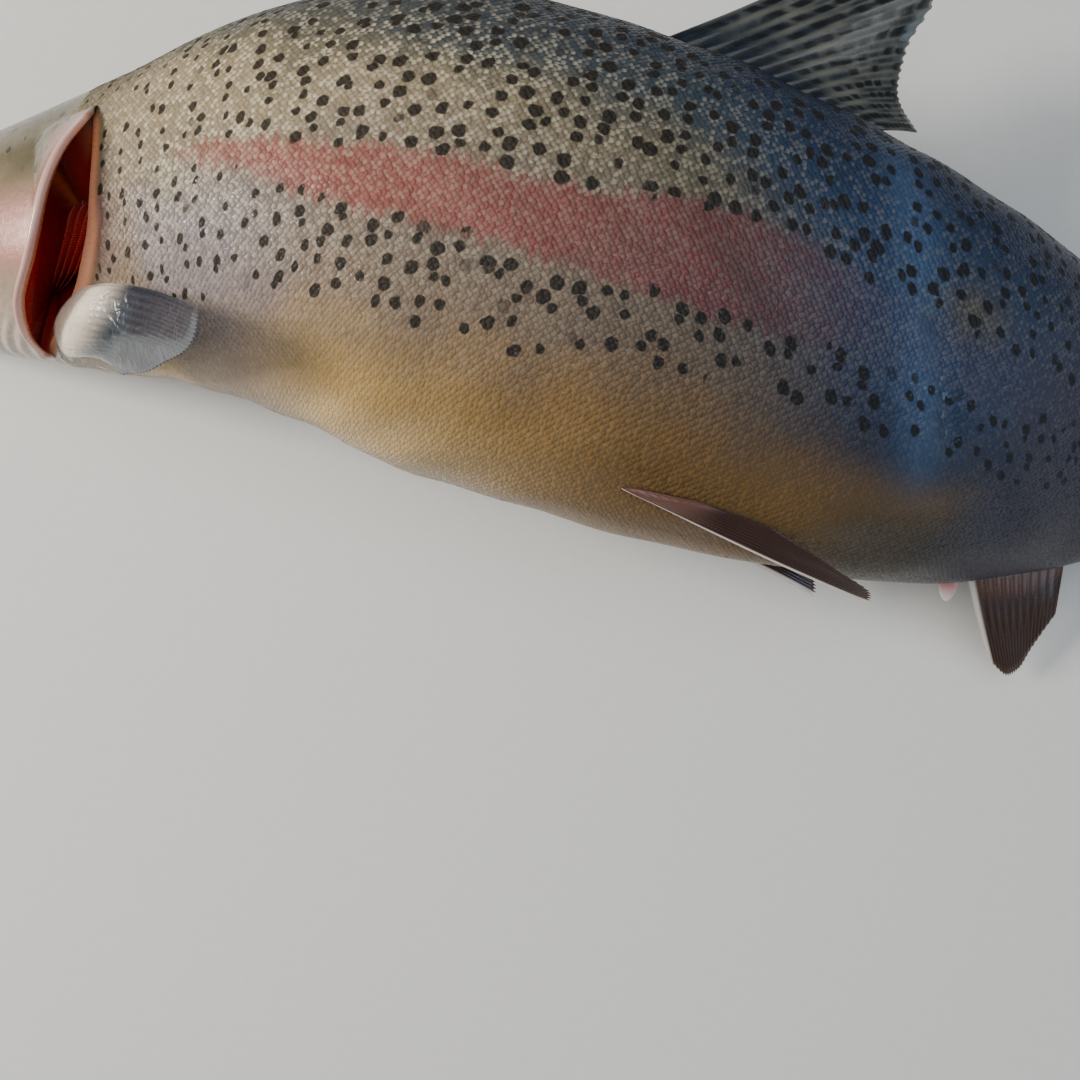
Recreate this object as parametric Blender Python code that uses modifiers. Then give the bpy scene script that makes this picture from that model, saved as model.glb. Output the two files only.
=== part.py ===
"""A rainbow trout, life size, lying on its right side with its back arched clear of the ground.

The fish is modelled straight and then bent. In the straight fish, x runs from the tip of the snout
to the tail, y from belly to back, and z from the right flank to the left. bend() carries a point of
the straight fish to its place along the curved spine, where the floor is z = 0.
"""

import math

import bmesh
import bpy
import numpy as np

# Driving dimensions, in metres.
STANDARD_LENGTH = 0.465  # snout to the end of the tail stalk
GAP = 0.0003  # kept between neighbouring solids
FIN_THICKNESS = 0.0013
ADIPOSE_THICKNESS = 0.0026
ROUND = 34  # points round the body
BACK_AND_BELLY_CROWDING = 8  # degrees that those points move towards the back and the belly
SHARP_EDGE = 40  # degrees between two faces above which their edge is shaded sharp

# The body's outline: half depths above and below the spine and half width, at stations along the body,
# all as shares of the standard length.
STATIONS = (0.0, 0.05, 0.12, 0.18, 0.235, 0.33, 0.42, 0.50, 0.60, 0.70, 0.78, 0.85, 0.92, 1.0)
BACK = (0.026, 0.043, 0.063, 0.077, 0.091, 0.122, 0.134, 0.133, 0.119, 0.097, 0.075, 0.059, 0.051, 0.052)
BELLY = (0.026, 0.040, 0.060, 0.073, 0.083, 0.108, 0.126, 0.125, 0.117, 0.108, 0.089, 0.063, 0.050, 0.050)
FLANK = (0.020, 0.035, 0.050, 0.056, 0.060, 0.067, 0.069, 0.068, 0.060, 0.046, 0.034, 0.026, 0.018, 0.010)
SNOUT_ROUNDING = 0.030  # length of the rounded tip, as a share of the standard length
FLANK_FULLNESS = 0.90  # below 1 the flank is flatter than an ellipse

# The spine's bends in degrees, at stations along the body: down towards the tail, towards the back, and
# turned about its own length so that the back faces up.
PITCH_STATIONS = (0.0, 0.235, 0.35, 0.5, 0.62, 0.74, 0.83, 0.92, 1.0, 1.2)
PITCH = (-15.0, -14.0, -11.0, -1.0, 6.0, 22.0, 24.0, 14.0, 2.0, 0.0)
YAW_STATIONS = (0.0, 0.235, 0.5, 0.74, 1.0, 1.2)
YAW = (3.0, 1.0, -19.0, -9.0, 8.0, 10.0)
ROLL_STATIONS = (0.0, 0.235, 0.5, 0.62, 0.74, 0.9, 1.0, 1.2)
ROLL = (0.0, 4.0, 0.0, 10.0, 17.0, 8.0, 0.0, 0.0)
SNOUT_AT = (-0.2505, 0.0240, 0.0086)  # where the bent spine starts
SPINE_STEP = 0.001

# Where the body is parted, as shares of the standard length.
TRUNK_PARTS = (0.36, 0.56, 0.745)

# The gill opening: the trunk's front edge, and the line on which the gill covers hinge, by the angle in
# degrees round the body from the middle of the back.
SHOULDER_ANGLES = (0, 46, 70, 90, 112, 130, 150, 165, 180)
SHOULDER = (0.1030, 0.1045, 0.1065, 0.1055, 0.1000, 0.0915, 0.0815, 0.0785, 0.0775)
HINGE_ANGLES = (0, 46, 90, 130, 162, 180)
HINGE = (0.0840, 0.0862, 0.0885, 0.0797, 0.0725, 0.0710)
COVER_FROM, COVER_TO = 46, 164
COVER_THICKNESS = 0.0022
EDGE_TRIM = 0.0009  # between a gill cover's free edge and the trunk
FLARE_ANGLES = (46, 60, 75, 90, 105, 120, 135, 150, 164)
FLARE = (0, 14, 32, 46, 53, 57, 52, 32, 0)  # degrees that the left cover stands open
FLARE_OUT, FLARE_LEFT = 0.55, 0.45  # how much of that is straight off the skin, and how much to the left
RIGHT_RECESS = 0.915  # the right cover lies in a recess this share of the head's size

MOUTH_LINE = ((-0.010, -0.0015), (0.006, -0.0030), (0.026, -0.0085), (0.044, -0.0165), (0.055, -0.0235))
JAW_BACK = ((0.0575, -0.0300), (0.0590, -0.0500), (-0.010, -0.0500))
EYE_AT = (0.0350, 0.0080, 0.0131)
EYE_RADIUS = 0.0095
EYE_FLATNESS = 0.7
LIP_FROM, LIP_LENGTH = 0.011, 0.043
LIP_PROUD, LIP_DEEP = 0.0003, 0.0015  # how far the lip plate stands out from the skin, and goes into it
CHAMBER_CORE = 0.34  # how much of the head's width is left inside the open gill chamber
GILL_ARCHES = 4

# The tail fin: half its width at the root, the spread of its outermost rays in degrees, the length of its
# middle rays, how much longer the outermost are, and the distance over which it comes down flat.
TAIL_ROOT = 0.0225
TAIL_SPREAD = 30
TAIL_MIDDLE = 0.040
TAIL_FORK = 0.021
TAIL_SETTLES_OVER = 0.016

# How each piece is coloured, and how rough it is.
LOOKS = {
    "head": ((0.16, 0.16, 0.11), 0.3),
    "lower_jaw": ((0.55, 0.52, 0.46), 0.3),
    "upper_lip_left": ((0.20, 0.20, 0.15), 0.3),
    "upper_lip_right": ((0.20, 0.20, 0.15), 0.3),
    "eye_left": ((0.03, 0.03, 0.02), 0.1),
    "eye_right": ((0.03, 0.03, 0.02), 0.1),
    "gill_cover_left": ((0.66, 0.40, 0.34), 0.3),
    "gill_cover_right": ((0.42, 0.30, 0.24), 0.3),
    "gills_left": ((0.30, 0.01, 0.01), 0.25),
    "trunk_front": ((0.20, 0.18, 0.13), 0.3),
    "trunk_middle": ((0.24, 0.17, 0.13), 0.3),
    "trunk_rear": ((0.12, 0.14, 0.17), 0.3),
    "tail_stalk": ((0.10, 0.12, 0.17), 0.3),
    "dorsal_fin": ((0.20, 0.21, 0.19), 0.35),
    "adipose_fin": ((0.14, 0.15, 0.14), 0.35),
    "anal_fin": ((0.16, 0.07, 0.05), 0.35),
    "caudal_fin": ((0.15, 0.16, 0.17), 0.35),
    "pectoral_fin_left": ((0.30, 0.29, 0.27), 0.35),
    "pectoral_fin_right": ((0.30, 0.29, 0.27), 0.35),
    "pelvic_fin_left": ((0.22, 0.11, 0.08), 0.35),
    "pelvic_fin_right": ((0.22, 0.11, 0.08), 0.35),
}


def smooth(stations, values):
    """A smooth curve through the values that never overshoots them (cubic pieces with limited slopes)."""
    x = np.asarray(stations, float)
    y = np.asarray(values, float)
    step = np.diff(x)
    rise = np.diff(y) / step
    same_way = rise[:-1] * rise[1:] > 0
    mean = 2 * rise[:-1] * rise[1:] / np.where(same_way, rise[:-1] + rise[1:], 1)
    slope = np.concatenate([rise[:1], np.where(same_way, mean, 0), rise[-1:]])

    def at(where):
        w = np.clip(np.asarray(where, float), x[0], x[-1])
        i = np.clip(np.searchsorted(x, w, side="right") - 1, 0, len(step) - 1)
        t = (w - x[i]) / step[i]
        return (
            y[i] * (1 + 2 * t) * (1 - t) ** 2
            + slope[i] * step[i] * t * (1 - t) ** 2
            + y[i + 1] * t * t * (3 - 2 * t)
            + slope[i + 1] * step[i] * t * t * (t - 1)
        )

    return at


def ease(t):
    """0 below 0, 1 above 1, and an S-curve between."""
    t = np.clip(t, 0, 1)
    return t * t * (3 - 2 * t)


back_height = smooth(STATIONS, BACK)
belly_depth = smooth(STATIONS, BELLY)
flank_width = smooth(STATIONS, FLANK)
shoulder_edge = smooth(SHOULDER_ANGLES, SHOULDER)
hinge_line = smooth(HINGE_ANGLES, HINGE)
flare = smooth(FLARE_ANGLES, FLARE)


def spine():
    """The bent spine in millimetre steps: where it is, and its three directions there."""
    along = np.arange(0, 1.25 * STANDARD_LENGTH, SPINE_STEP)
    share = along / STANDARD_LENGTH
    pitch, yaw, roll = (
        np.radians(smooth(at, angle)(share))
        for at, angle in ((PITCH_STATIONS, PITCH), (YAW_STATIONS, YAW), (ROLL_STATIONS, ROLL))
    )
    tailward = np.stack([np.cos(pitch) * np.cos(yaw), np.cos(pitch) * np.sin(yaw), -np.sin(pitch)], 1)
    middles = (tailward[1:] + tailward[:-1]) / 2 * SPINE_STEP
    place = np.array(SNOUT_AT) + np.vstack([np.zeros(3), np.cumsum(middles, 0)])
    leftward = np.array([0.0, 0.0, 1.0]) - tailward * tailward[:, 2:]
    leftward /= np.linalg.norm(leftward, axis=1)[:, None]
    backward = np.cross(leftward, tailward)
    c, s = np.cos(roll)[:, None], np.sin(roll)[:, None]
    return along, place, tailward, backward * c + leftward * s, leftward * c - backward * s


SPINE = spine()


def bend(points):
    """Carries points of the straight fish to their places along the bent spine."""
    along, *columns = SPINE
    x = points[:, 0]
    place, tailward, dorsal, left = (
        np.stack([np.interp(x, along, column[:, i]) for i in range(3)], 1) for column in columns
    )
    return place + tailward * np.minimum(x, 0)[:, None] + dorsal * points[:, 1:2] + left * points[:, 2:3]


def flesh(x, angle, share=1.0):
    """The straight body's surface at x, at an angle in degrees from the middle of the back round by the left
    flank, shrunk to a share of its size."""
    x, angle, share = np.broadcast_arrays(np.asarray(x, float), np.radians(angle), share)
    along = x / STANDARD_LENGTH
    tip = np.clip(along / SNOUT_ROUNDING, 0, 1)
    rounding = np.sqrt(1 - (1 - tip) ** 2) * share
    c, s = np.cos(angle), np.sin(angle)
    y = np.where(c > 0, back_height(along), belly_depth(along)) * c
    z = flank_width(along) * np.sign(s) * np.abs(s) ** FLANK_FULLNESS
    return np.stack([x, y * rounding * STANDARD_LENGTH, z * rounding * STANDARD_LENGTH], -1)


def remember(mesh_object):
    """Gives an object its own material and puts it in the trout's collection."""
    colour, roughness = LOOKS[mesh_object.name]
    made = bpy.data.materials.new(mesh_object.name + "_flesh")
    made.use_nodes = True
    shader = made.node_tree.nodes["Principled BSDF"]
    shader.inputs["Base Color"].default_value = (*colour, 1)
    shader.inputs["Roughness"].default_value = roughness
    shader.inputs["Metallic"].default_value = 0
    mesh_object.data.materials.clear()
    mesh_object.data.materials.append(made)
    TROUT.objects.link(mesh_object)
    return mesh_object


def mesh_from(name, points, faces):
    """An object from points and faces, with every face turned outward."""
    mesh = bpy.data.meshes.new(name)
    mesh.from_pydata(points.reshape(-1, 3).tolist(), [], faces)
    work = bmesh.new()
    work.from_mesh(mesh)
    bmesh.ops.recalc_face_normals(work, faces=work.faces)
    work.to_mesh(mesh)
    work.free()
    return bpy.data.objects.new(name, mesh)


def loft(name, rings, front_hub, back_hub):
    """A closed body through rings of points (rings x round x 3), each end closed by a fan to its hub."""
    count, around = rings.shape[:2]
    points = np.vstack([rings.reshape(-1, 3), [front_hub, back_hub]])
    front, end = count * around, count * around + 1
    faces = []
    for j in range(around):
        k = (j + 1) % around
        for low in range(0, front - around, around):
            faces.append((low + j, low + k, low + around + k, low + around + j))
        faces.append((front, k, j))
        faces.append((end, (count - 1) * around + j, (count - 1) * around + k))
    return mesh_from(name, points, faces)


def angles_round():
    """Degrees round the body, a little closer together along the back and the belly."""
    even = np.arange(ROUND) * 360 / ROUND
    return even - BACK_AND_BELLY_CROWDING * np.sin(np.radians(2 * even))


def body_length(name, front, back, rings):
    """A length of the trunk. front and back are where it starts and ends, as functions of the angle."""
    angle = angles_round()
    fold = np.minimum(angle % 360, 360 - angle % 360)
    share = np.linspace(0, 1, rings)[:, None]
    x = front(fold) * (1 - share) + back(fold) * share
    hubs = [np.array([end(np.array(90.0)), 0, 0], float) for end in (front, back)]
    return loft(name, flesh(x, angle[None]), *hubs)


def square_cut(share, trim=0.0):
    """A flat cut across the body at a share of its length, for body_length."""
    return lambda angle: np.full_like(np.asarray(angle, float), share * STANDARD_LENGTH + trim)


def shell(name, corner, across, along, inner, outer):
    """A closed plate whose sides are two grids: corner(a, b, share) for a and b in 0..1, at two shares."""
    a, b = np.meshgrid(np.linspace(0, 1, across), np.linspace(0, 1, along), indexing="ij")
    low, high = corner(a, b, inner), corner(a, b, outer)
    points = np.vstack([low.reshape(-1, 3), high.reshape(-1, 3)])
    top = across * along
    faces = []
    for i in range(across - 1):
        for j in range(along - 1):
            q = (i * along + j, i * along + j + 1, (i + 1) * along + j + 1, (i + 1) * along + j)
            faces += [q, tuple(top + v for v in reversed(q))]
    rim = [i * along for i in range(across)]
    rim += [(across - 1) * along + j for j in range(1, along)]
    rim += [i * along + along - 1 for i in range(across - 2, -1, -1)]
    rim += list(range(along - 2, 0, -1))
    faces += [(p, q, top + q, top + p) for p, q in zip(rim, rim[1:] + rim[:1])]
    return mesh_from(name, points, faces)


def prism(name, outline, half_width):
    """An outline in the side view of the straight fish, carried across it from right to left."""
    work = bmesh.new()
    corners = [work.verts.new((x, y, -half_width)) for x, y in outline]
    face = work.faces.new(corners)
    moved = bmesh.ops.extrude_face_region(work, geom=[face])["geom"]
    carried = [v for v in moved if isinstance(v, bmesh.types.BMVert)]
    bmesh.ops.translate(work, verts=carried, vec=(0, 0, 2 * half_width))
    bmesh.ops.recalc_face_normals(work, faces=work.faces)
    mesh = bpy.data.meshes.new(name)
    work.to_mesh(mesh)
    work.free()
    return bpy.data.objects.new(name, mesh)


def cutter(made):
    """Keeps an object as a tool that only cuts."""
    made.hide_render = True
    made.display_type = "WIRE"
    TOOLS.objects.link(made)
    return made


def boolean(target, tool, operation="DIFFERENCE"):
    """Adds a Boolean that cuts the target with the tool, or keeps what they share."""
    step = target.modifiers.new(tool.name, "BOOLEAN")
    step.operation = operation
    step.object = tool
    step.solver = "EXACT"


def settle(made, place=bend):
    """Applies an object's modifiers, then carries its points to their places."""
    bpy.context.view_layer.update()
    graph = bpy.context.evaluated_depsgraph_get()
    mesh = bpy.data.meshes.new_from_object(made.evaluated_get(graph))
    made.modifiers.clear()
    made.data = mesh
    points = np.empty(len(mesh.vertices) * 3, np.float32)
    mesh.vertices.foreach_get("co", points)
    placed = place(points.reshape(-1, 3).astype(float))
    mesh.vertices.foreach_set("co", placed.astype(np.float32).ravel())
    mesh.shade_smooth()
    mesh.set_sharp_from_angle(angle=math.radians(SHARP_EDGE))
    mesh.update()


# ---------------------------------------------------------------- head


def head_block(name):
    """The whole head from the snout to the shoulder edge, before the jaw and the gill chamber are cut."""
    angle = angles_round()
    fold = np.minimum(angle % 360, 360 - angle % 360)
    near_tip = np.array([0.0008, 0.003, 0.007, 0.013, 0.020, 0.028, 0.037, 0.047, 0.058])[:, None]
    share = np.linspace(0, 1, 7)[1:, None]
    start = near_tip[-1]
    behind = start * (1 - share) + (shoulder_edge(fold) - GAP) * share
    x = np.vstack([near_tip + 0 * fold, behind])
    hub_x = shoulder_edge(90.0) - GAP
    return loft(name, flesh(x, angle[None]), np.zeros(3), np.array([hub_x, 0, 0]))


def cover_point(side, opening, edge_trim=0.0, hinge_trim=0.0):
    """A point function for a gill cover: a runs from the top to the throat, b from the hinge to the free edge.
    opening is the share of its flare to which the cover stands open."""

    def at(a, b, share):
        angle = COVER_FROM + (COVER_TO - COVER_FROM) * a
        hinge = hinge_line(angle) + hinge_trim
        reach = (shoulder_edge(angle) - edge_trim - hinge) * b
        opened = np.radians(flare(angle)) * opening * ease(b / 0.35)
        fixed = flesh(hinge + reach * np.cos(opened), side * angle, share)
        outward = flesh(hinge, side * angle) * np.array([0.0, 1.0, 1.0])
        outward /= np.linalg.norm(outward, axis=-1)[..., None]
        outward = outward * FLARE_OUT + np.array([0.0, 0.0, FLARE_LEFT * side])
        return fixed + outward * (reach * np.sin(opened))[..., None]

    return at


def gill_ridges(a, b, share):
    """The red arches side by side in the open chamber, high in the middle and low at both ends."""
    angle = 60 + 88 * a
    x = hinge_line(angle) + 0.0025 + (shoulder_edge(angle) - hinge_line(angle) - 0.0075) * b
    arch = np.abs(np.sin(np.pi * GILL_ARCHES * np.clip(b, 0.02, 0.98))) ** 0.7
    height = CHAMBER_CORE + 0.02 + (0.12 + 0.26 * np.sin(np.pi * a) * arch) * (share > 0.5)
    return flesh(x, angle, height)


def build_head():
    head = head_block("head")
    jaw = head_block("lower_jaw")
    jaw_region = MOUTH_LINE + JAW_BACK
    boolean(head, cutter(prism("jaw_space", jaw_region, 0.05)))
    boolean(jaw, cutter(prism("jaw_shape", [(x - GAP, y - GAP) for x, y in jaw_region], 0.05)), "INTERSECT")

    def chamber_point(a, b, share):
        angle = COVER_FROM - 4 + (COVER_TO - COVER_FROM + 7) * a
        front = hinge_line(angle) - GAP
        return flesh(front + (shoulder_edge(angle) + 0.006 - front) * b, angle, share)

    def recess_point(a, b, share):
        angle = COVER_FROM - 1 + (COVER_TO - COVER_FROM + 2) * a
        front = hinge_line(angle) - GAP
        return flesh(front + (shoulder_edge(angle) + 0.006 - front) * b, -angle, share)

    boolean(head, cutter(shell("gill_chamber", chamber_point, 14, 7, CHAMBER_CORE, 1.25)))
    boolean(head, cutter(shell("cover_recess", recess_point, 14, 7, RIGHT_RECESS, 1.25)))
    for side, name in ((1, "eye_left"), (-1, "eye_right")):
        socket = eye_ball(name + "_socket", side, EYE_RADIUS + 2 * GAP)
        boolean(head, cutter(socket))
        remember(eye_ball(name, side, EYE_RADIUS))
    for side, name in ((1, "upper_lip_left"), (-1, "upper_lip_right")):
        boolean(head, cutter(lip_plate(name + "_recess", side, GAP)))
        remember(lip_plate(name, side, 0.0))
    remember(head)
    remember(jaw)
    thin = COVER_THICKNESS / (flank_width(0.2) * STANDARD_LENGTH)
    remember(shell("gill_cover_right", cover_point(-1, 0, EDGE_TRIM), 14, 6, 1 - thin, 1.0))
    remember(shell("gill_cover_left", cover_point(1, 1, EDGE_TRIM, GAP), 15, 8, 1 - thin, 1.0))
    remember(shell("gills_left", gill_ridges, 10, 4 * GILL_ARCHES + 1, 0.0, 1.0))


def eye_ball(name, side, radius):
    """A ball, flattened from side to side, set in the side of the head."""
    work = bmesh.new()
    bmesh.ops.create_uvsphere(work, u_segments=16, v_segments=10, radius=radius)
    bmesh.ops.scale(work, verts=work.verts, vec=(1, 1, EYE_FLATNESS))
    bmesh.ops.translate(work, verts=work.verts, vec=(EYE_AT[0], EYE_AT[1], side * EYE_AT[2]))
    mesh = bpy.data.meshes.new(name)
    work.to_mesh(mesh)
    work.free()
    return bpy.data.objects.new(name, mesh)


def lip_plate(name, side, grow):
    """The long bony plate that edges the upper jaw, from below the nostril to past the eye. It lies in a recess,
    which is the same plate grown on its sides and carried out past the skin."""
    mouth = np.array(MOUTH_LINE)

    def at(a, b, share):
        x = LIP_FROM - grow + (LIP_LENGTH + 2 * grow) * a
        low = np.interp(x, mouth[:, 0], mouth[:, 1]) + 0.0005
        width = 0.0030 + 0.0042 * np.sin(np.pi * np.clip(0.25 + 0.62 * a, 0, 1))
        y = low + width * b + grow * (2 * b - 1) - 3 * grow * (1 - b)
        along = x / STANDARD_LENGTH
        depth = np.where(y > 0, back_height(along), belly_depth(along)) * STANDARD_LENGTH
        angle = side * np.degrees(np.arccos(np.clip(y / depth, -1, 1)))
        out = (LIP_DEEP + LIP_PROUD + 10 * grow) * share - LIP_DEEP - grow
        return flesh(x, angle) + np.array([0.0, 0.0, side]) * out[..., None]

    return shell(name, lambda a, b, share: at(a, b, np.full_like(a, share)), 12, 4, 0.0, 1.0)


# ---------------------------------------------------------------- trunk


def build_trunk():
    first, second, third = TRUNK_PARTS
    half = GAP / 2
    for name, front, back, rings in (
        ("trunk_front", shoulder_edge, square_cut(first, -half), 7),
        ("trunk_middle", square_cut(first, half), square_cut(second, -half), 7),
        ("trunk_rear", square_cut(second, half), square_cut(third, -half), 8),
        ("tail_stalk", square_cut(third, half), square_cut(1.0), 10),
    ):
        remember(body_length(name, front, back, rings))


# ---------------------------------------------------------------- fins


def fin(name, point, rays, steps, thickness=FIN_THICKNESS):
    """A thin sheet, point(a, b), with a from the first ray to the last and b from the root to the margin."""
    work = bmesh.new()
    bmesh.ops.create_grid(work, x_segments=rays, y_segments=steps, size=0.5)
    grid = np.array([v.co[:] for v in work.verts]) + 0.5
    for vertex, place in zip(work.verts, point(grid[:, 0], grid[:, 1])):
        vertex.co = place
    mesh = bpy.data.meshes.new(name)
    work.to_mesh(mesh)
    work.free()
    made = bpy.data.objects.new(name, mesh)
    wall = made.modifiers.new("wall", "SOLIDIFY")
    wall.thickness = thickness
    wall.offset = 0
    wall.use_even_offset = False
    remember(made)


def ray_sheet(root, direction, length, sag):
    """The sheet of rays that leave the root in a direction and sag towards the floor with their length."""

    def point(a, b):
        reach = (length(a) * b)[:, None]
        return root(a) + direction(a) * reach + np.array([0.0, 0.0, 1.0]) * (sag(a) * b * b)[:, None]

    return point


def midline_root(start, end, angle, clear):
    """The root of a fin on the back (0 degrees) or the belly (180), clear of the body."""

    def root(a):
        at = flesh((start + (end - start) * a) * STANDARD_LENGTH, angle)
        at[:, 1] += clear if angle < 90 else -clear
        return at

    return root


def leaning(first, last, up):
    """Directions in the side view: degrees from the tailward direction, from the first ray to the last."""

    def direction(a):
        lean = np.radians(first + (last - first) * a)
        return np.stack([np.cos(lean), up * np.sin(lean), 0 * lean], 1)

    return direction


def lengths(*values):
    """Metres for each ray, given for rays spaced evenly from the first to the last."""
    return smooth(np.linspace(0, 1, len(values)), values)


def build_median_fins():
    clear = GAP + FIN_THICKNESS / 2
    dorsal = ray_sheet(
        midline_root(0.475, 0.60, 0, clear),
        leaning(42, 19, 1),
        lengths(0.052, 0.058, 0.037, 0.021, 0.012),
        lengths(-0.006, -0.008, -0.004),
    )
    anal = ray_sheet(
        midline_root(0.746, 0.805, 180, clear),
        leaning(55, 80, -1),
        lengths(0.028, 0.033, 0.031, 0.024, 0.016),
        lengths(-0.002, -0.003, -0.001),
    )
    adipose = ray_sheet(
        midline_root(0.845, 0.868, 0, clear),
        leaning(38, 20, 1),
        lengths(0.011, 0.018, 0.016),
        lengths(0, 0),
    )
    fin("dorsal_fin", dorsal, 14, 7)
    fin("anal_fin", anal, 12, 6)
    fin("adipose_fin", adipose, 7, 6, ADIPOSE_THICKNESS)


def caudal_point(a, b):
    """The tail fin spreads from the end of the stalk, with a shallow fork."""
    spread = 1 - 2 * a
    root = np.stack([np.full_like(a, STANDARD_LENGTH + GAP), spread * TAIL_ROOT, 0 * a], 1)
    lean = np.radians(TAIL_SPREAD * spread)
    reach = (TAIL_MIDDLE + TAIL_FORK * np.abs(spread) ** 1.6) * (1 - 0.10 * np.abs(spread) ** 12)
    out = np.stack([np.cos(lean), np.sin(lean), 0 * a], 1)
    return root + out * (reach * b)[:, None]


def lay_tail_fin(points):
    """Bends the tail fin with the spine, then lays all but its root flat on the floor."""
    bent = bend(points)
    flat = ease((points[:, 0] - STANDARD_LENGTH - 0.002) / TAIL_SETTLES_OVER)
    sheet_height = FIN_THICKNESS / 2 + np.sign(points[:, 2]) * FIN_THICKNESS / 2
    bent[:, 2] = bent[:, 2] * (1 - flat) + sheet_height * flat
    return bent


def flank_sheet(start, run, angles, fan, rise, length, side, clear=0.0012):
    """The sheet of a paired fin. It leaves the flank at start, its root runs back and round between two angles,
    and its rays follow the skin while they rise from it. fan is how far, in degrees, the first and the last ray
    turn towards the back, and rise how far they stand off the skin."""

    def point(a, b):
        reach = length(a) * b
        turn = np.radians(fan[0] + (fan[1] - fan[0]) * a)
        lift = np.radians(rise[0] + (rise[1] - rise[0]) * a)
        x = start + run * a + reach * np.cos(turn) * np.cos(lift)
        half_depth = belly_depth(x / STANDARD_LENGTH) * STANDARD_LENGTH
        angle = angles[0] + (angles[1] - angles[0]) * a - np.degrees(reach * np.sin(turn) / half_depth)
        on = flesh(x, side * angle)
        out = on * np.array([0.0, 1.0, 1.0])
        out /= np.linalg.norm(out, axis=1)[:, None]
        return on + out * (clear + reach * np.sin(lift))[:, None]

    return point


def build_paired_fins():
    pectoral = lengths(0.052, 0.058, 0.052, 0.040, 0.024)
    pelvic = lengths(0.064, 0.058, 0.043, 0.030, 0.018)
    for name, sheet, rays in (
        ("pectoral_fin_left", flank_sheet(0.104, -0.016, (116, 150), (5, 20), (27, 25), pectoral, 1), 12),
        ("pectoral_fin_right", flank_sheet(0.106, -0.014, (118, 148), (0, 6), (5, 4), pectoral, -1, 0.0020), 12),
        ("pelvic_fin_left", flank_sheet(0.2486, 0.015, (143, 138), (-9, 1), (6, 4), pelvic, 1, 0.0020), 9),
        ("pelvic_fin_right", flank_sheet(0.2486, 0.015, (150, 145), (-6, 2), (12, 5), pelvic, -1, 0.0020), 9),
    ):
        fin(name, sheet, rays, 7)


def rest_on_floor(points):
    """Bends a piece, and presses what would pass below the floor into a small flat on it."""
    bent = bend(points)
    bent[:, 2] = np.maximum(bent[:, 2], 0)
    return bent


for old in list(bpy.data.objects):
    bpy.data.objects.remove(old, do_unlink=True)
TROUT = bpy.data.collections.new("rainbow_trout")
TOOLS = bpy.data.collections.new("cutters")
for group in (TROUT, TOOLS):
    bpy.context.scene.collection.children.link(group)

build_head()
build_trunk()
build_median_fins()
build_paired_fins()
fin("caudal_fin", caudal_point, 15, 7)

PLACES = {"caudal_fin": lay_tail_fin}
for low in ("head", "lower_jaw", "upper_lip_right", "eye_right", "gill_cover_right", "tail_stalk"):
    PLACES[low] = rest_on_floor
for piece in TROUT.objects:
    settle(piece, PLACES.get(piece.name, bend))
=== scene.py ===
# %% [markdown]
# # A life-size rainbow trout
#
# The fish lies on its right side, its back arched a little clear of the floor, with the left gill cover
# standing open. This script dresses the plain solids of the model: one skin over the whole body, a coat of
# real scales, fins with their rays, eyes and gills. Every shape is worked out with numpy as a surface over
# a grid, because a fish is a smooth form whose sections change slowly from snout to tail.

import bpy
import numpy as np
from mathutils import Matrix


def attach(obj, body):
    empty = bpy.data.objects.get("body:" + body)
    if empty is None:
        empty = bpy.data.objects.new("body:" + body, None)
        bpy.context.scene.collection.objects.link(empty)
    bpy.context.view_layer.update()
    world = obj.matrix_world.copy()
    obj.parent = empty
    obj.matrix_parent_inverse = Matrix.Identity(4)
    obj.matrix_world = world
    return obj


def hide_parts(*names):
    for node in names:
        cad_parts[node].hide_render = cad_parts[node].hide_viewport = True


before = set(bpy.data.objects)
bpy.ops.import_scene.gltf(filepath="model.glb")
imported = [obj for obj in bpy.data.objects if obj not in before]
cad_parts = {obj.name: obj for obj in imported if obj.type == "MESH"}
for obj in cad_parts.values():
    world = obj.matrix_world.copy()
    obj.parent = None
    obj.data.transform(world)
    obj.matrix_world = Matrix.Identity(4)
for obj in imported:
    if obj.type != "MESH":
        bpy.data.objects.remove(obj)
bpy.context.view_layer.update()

# %% [markdown]
# ## Camera and light
#
# The fish is seen from straight above, from close by, so the head and the tail run out of the picture. One
# large lamp on the left stands for a low sun through thin cloud, a wide dim one overhead fills the shade,
# and a faint blue one on the right stands for the sky.

# %% Camera
camera = bpy.data.objects.new("camera", bpy.data.cameras.new("camera"))
camera.location = (-0.0463, -0.0527, 0.3220)
camera.data.sensor_width = 36
camera.data.lens = 36
camera.data.clip_start = 0.01
bpy.context.scene.collection.objects.link(camera)
bpy.context.scene.camera = camera


# %% Lamps and world
def lamp(name, place, aim, side, watts, tint):
    """A square lamp of that side in metres, turned from its place towards the point it is aimed at."""
    data = bpy.data.lights.new(name, "AREA")
    data.shape = "SQUARE"
    data.size = side
    data.energy = watts
    data.color = tint
    made = bpy.data.objects.new(name, data)
    away = np.array(aim) - np.array(place)
    made.location = place
    made.rotation_euler = (
        np.arccos(-away[2] / np.linalg.norm(away)),
        0,
        np.arctan2(away[1], away[0]) - np.pi / 2,
    )
    bpy.context.scene.collection.objects.link(made)


lamp("key", (-0.97, 0.13, 0.70), (-0.05, 0.0, 0.04), 0.34, 15, (1.0, 0.95, 0.87))
lamp("overhead", (-0.10, 0.05, 1.20), (-0.1, 0.0, 0.04), 1.10, 7, (0.93, 0.97, 1.0))
lamp("far_side", (0.90, -0.35, 0.70), (0.05, 0.0, 0.04), 0.60, 2.5, (0.55, 0.75, 1.0))

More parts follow.
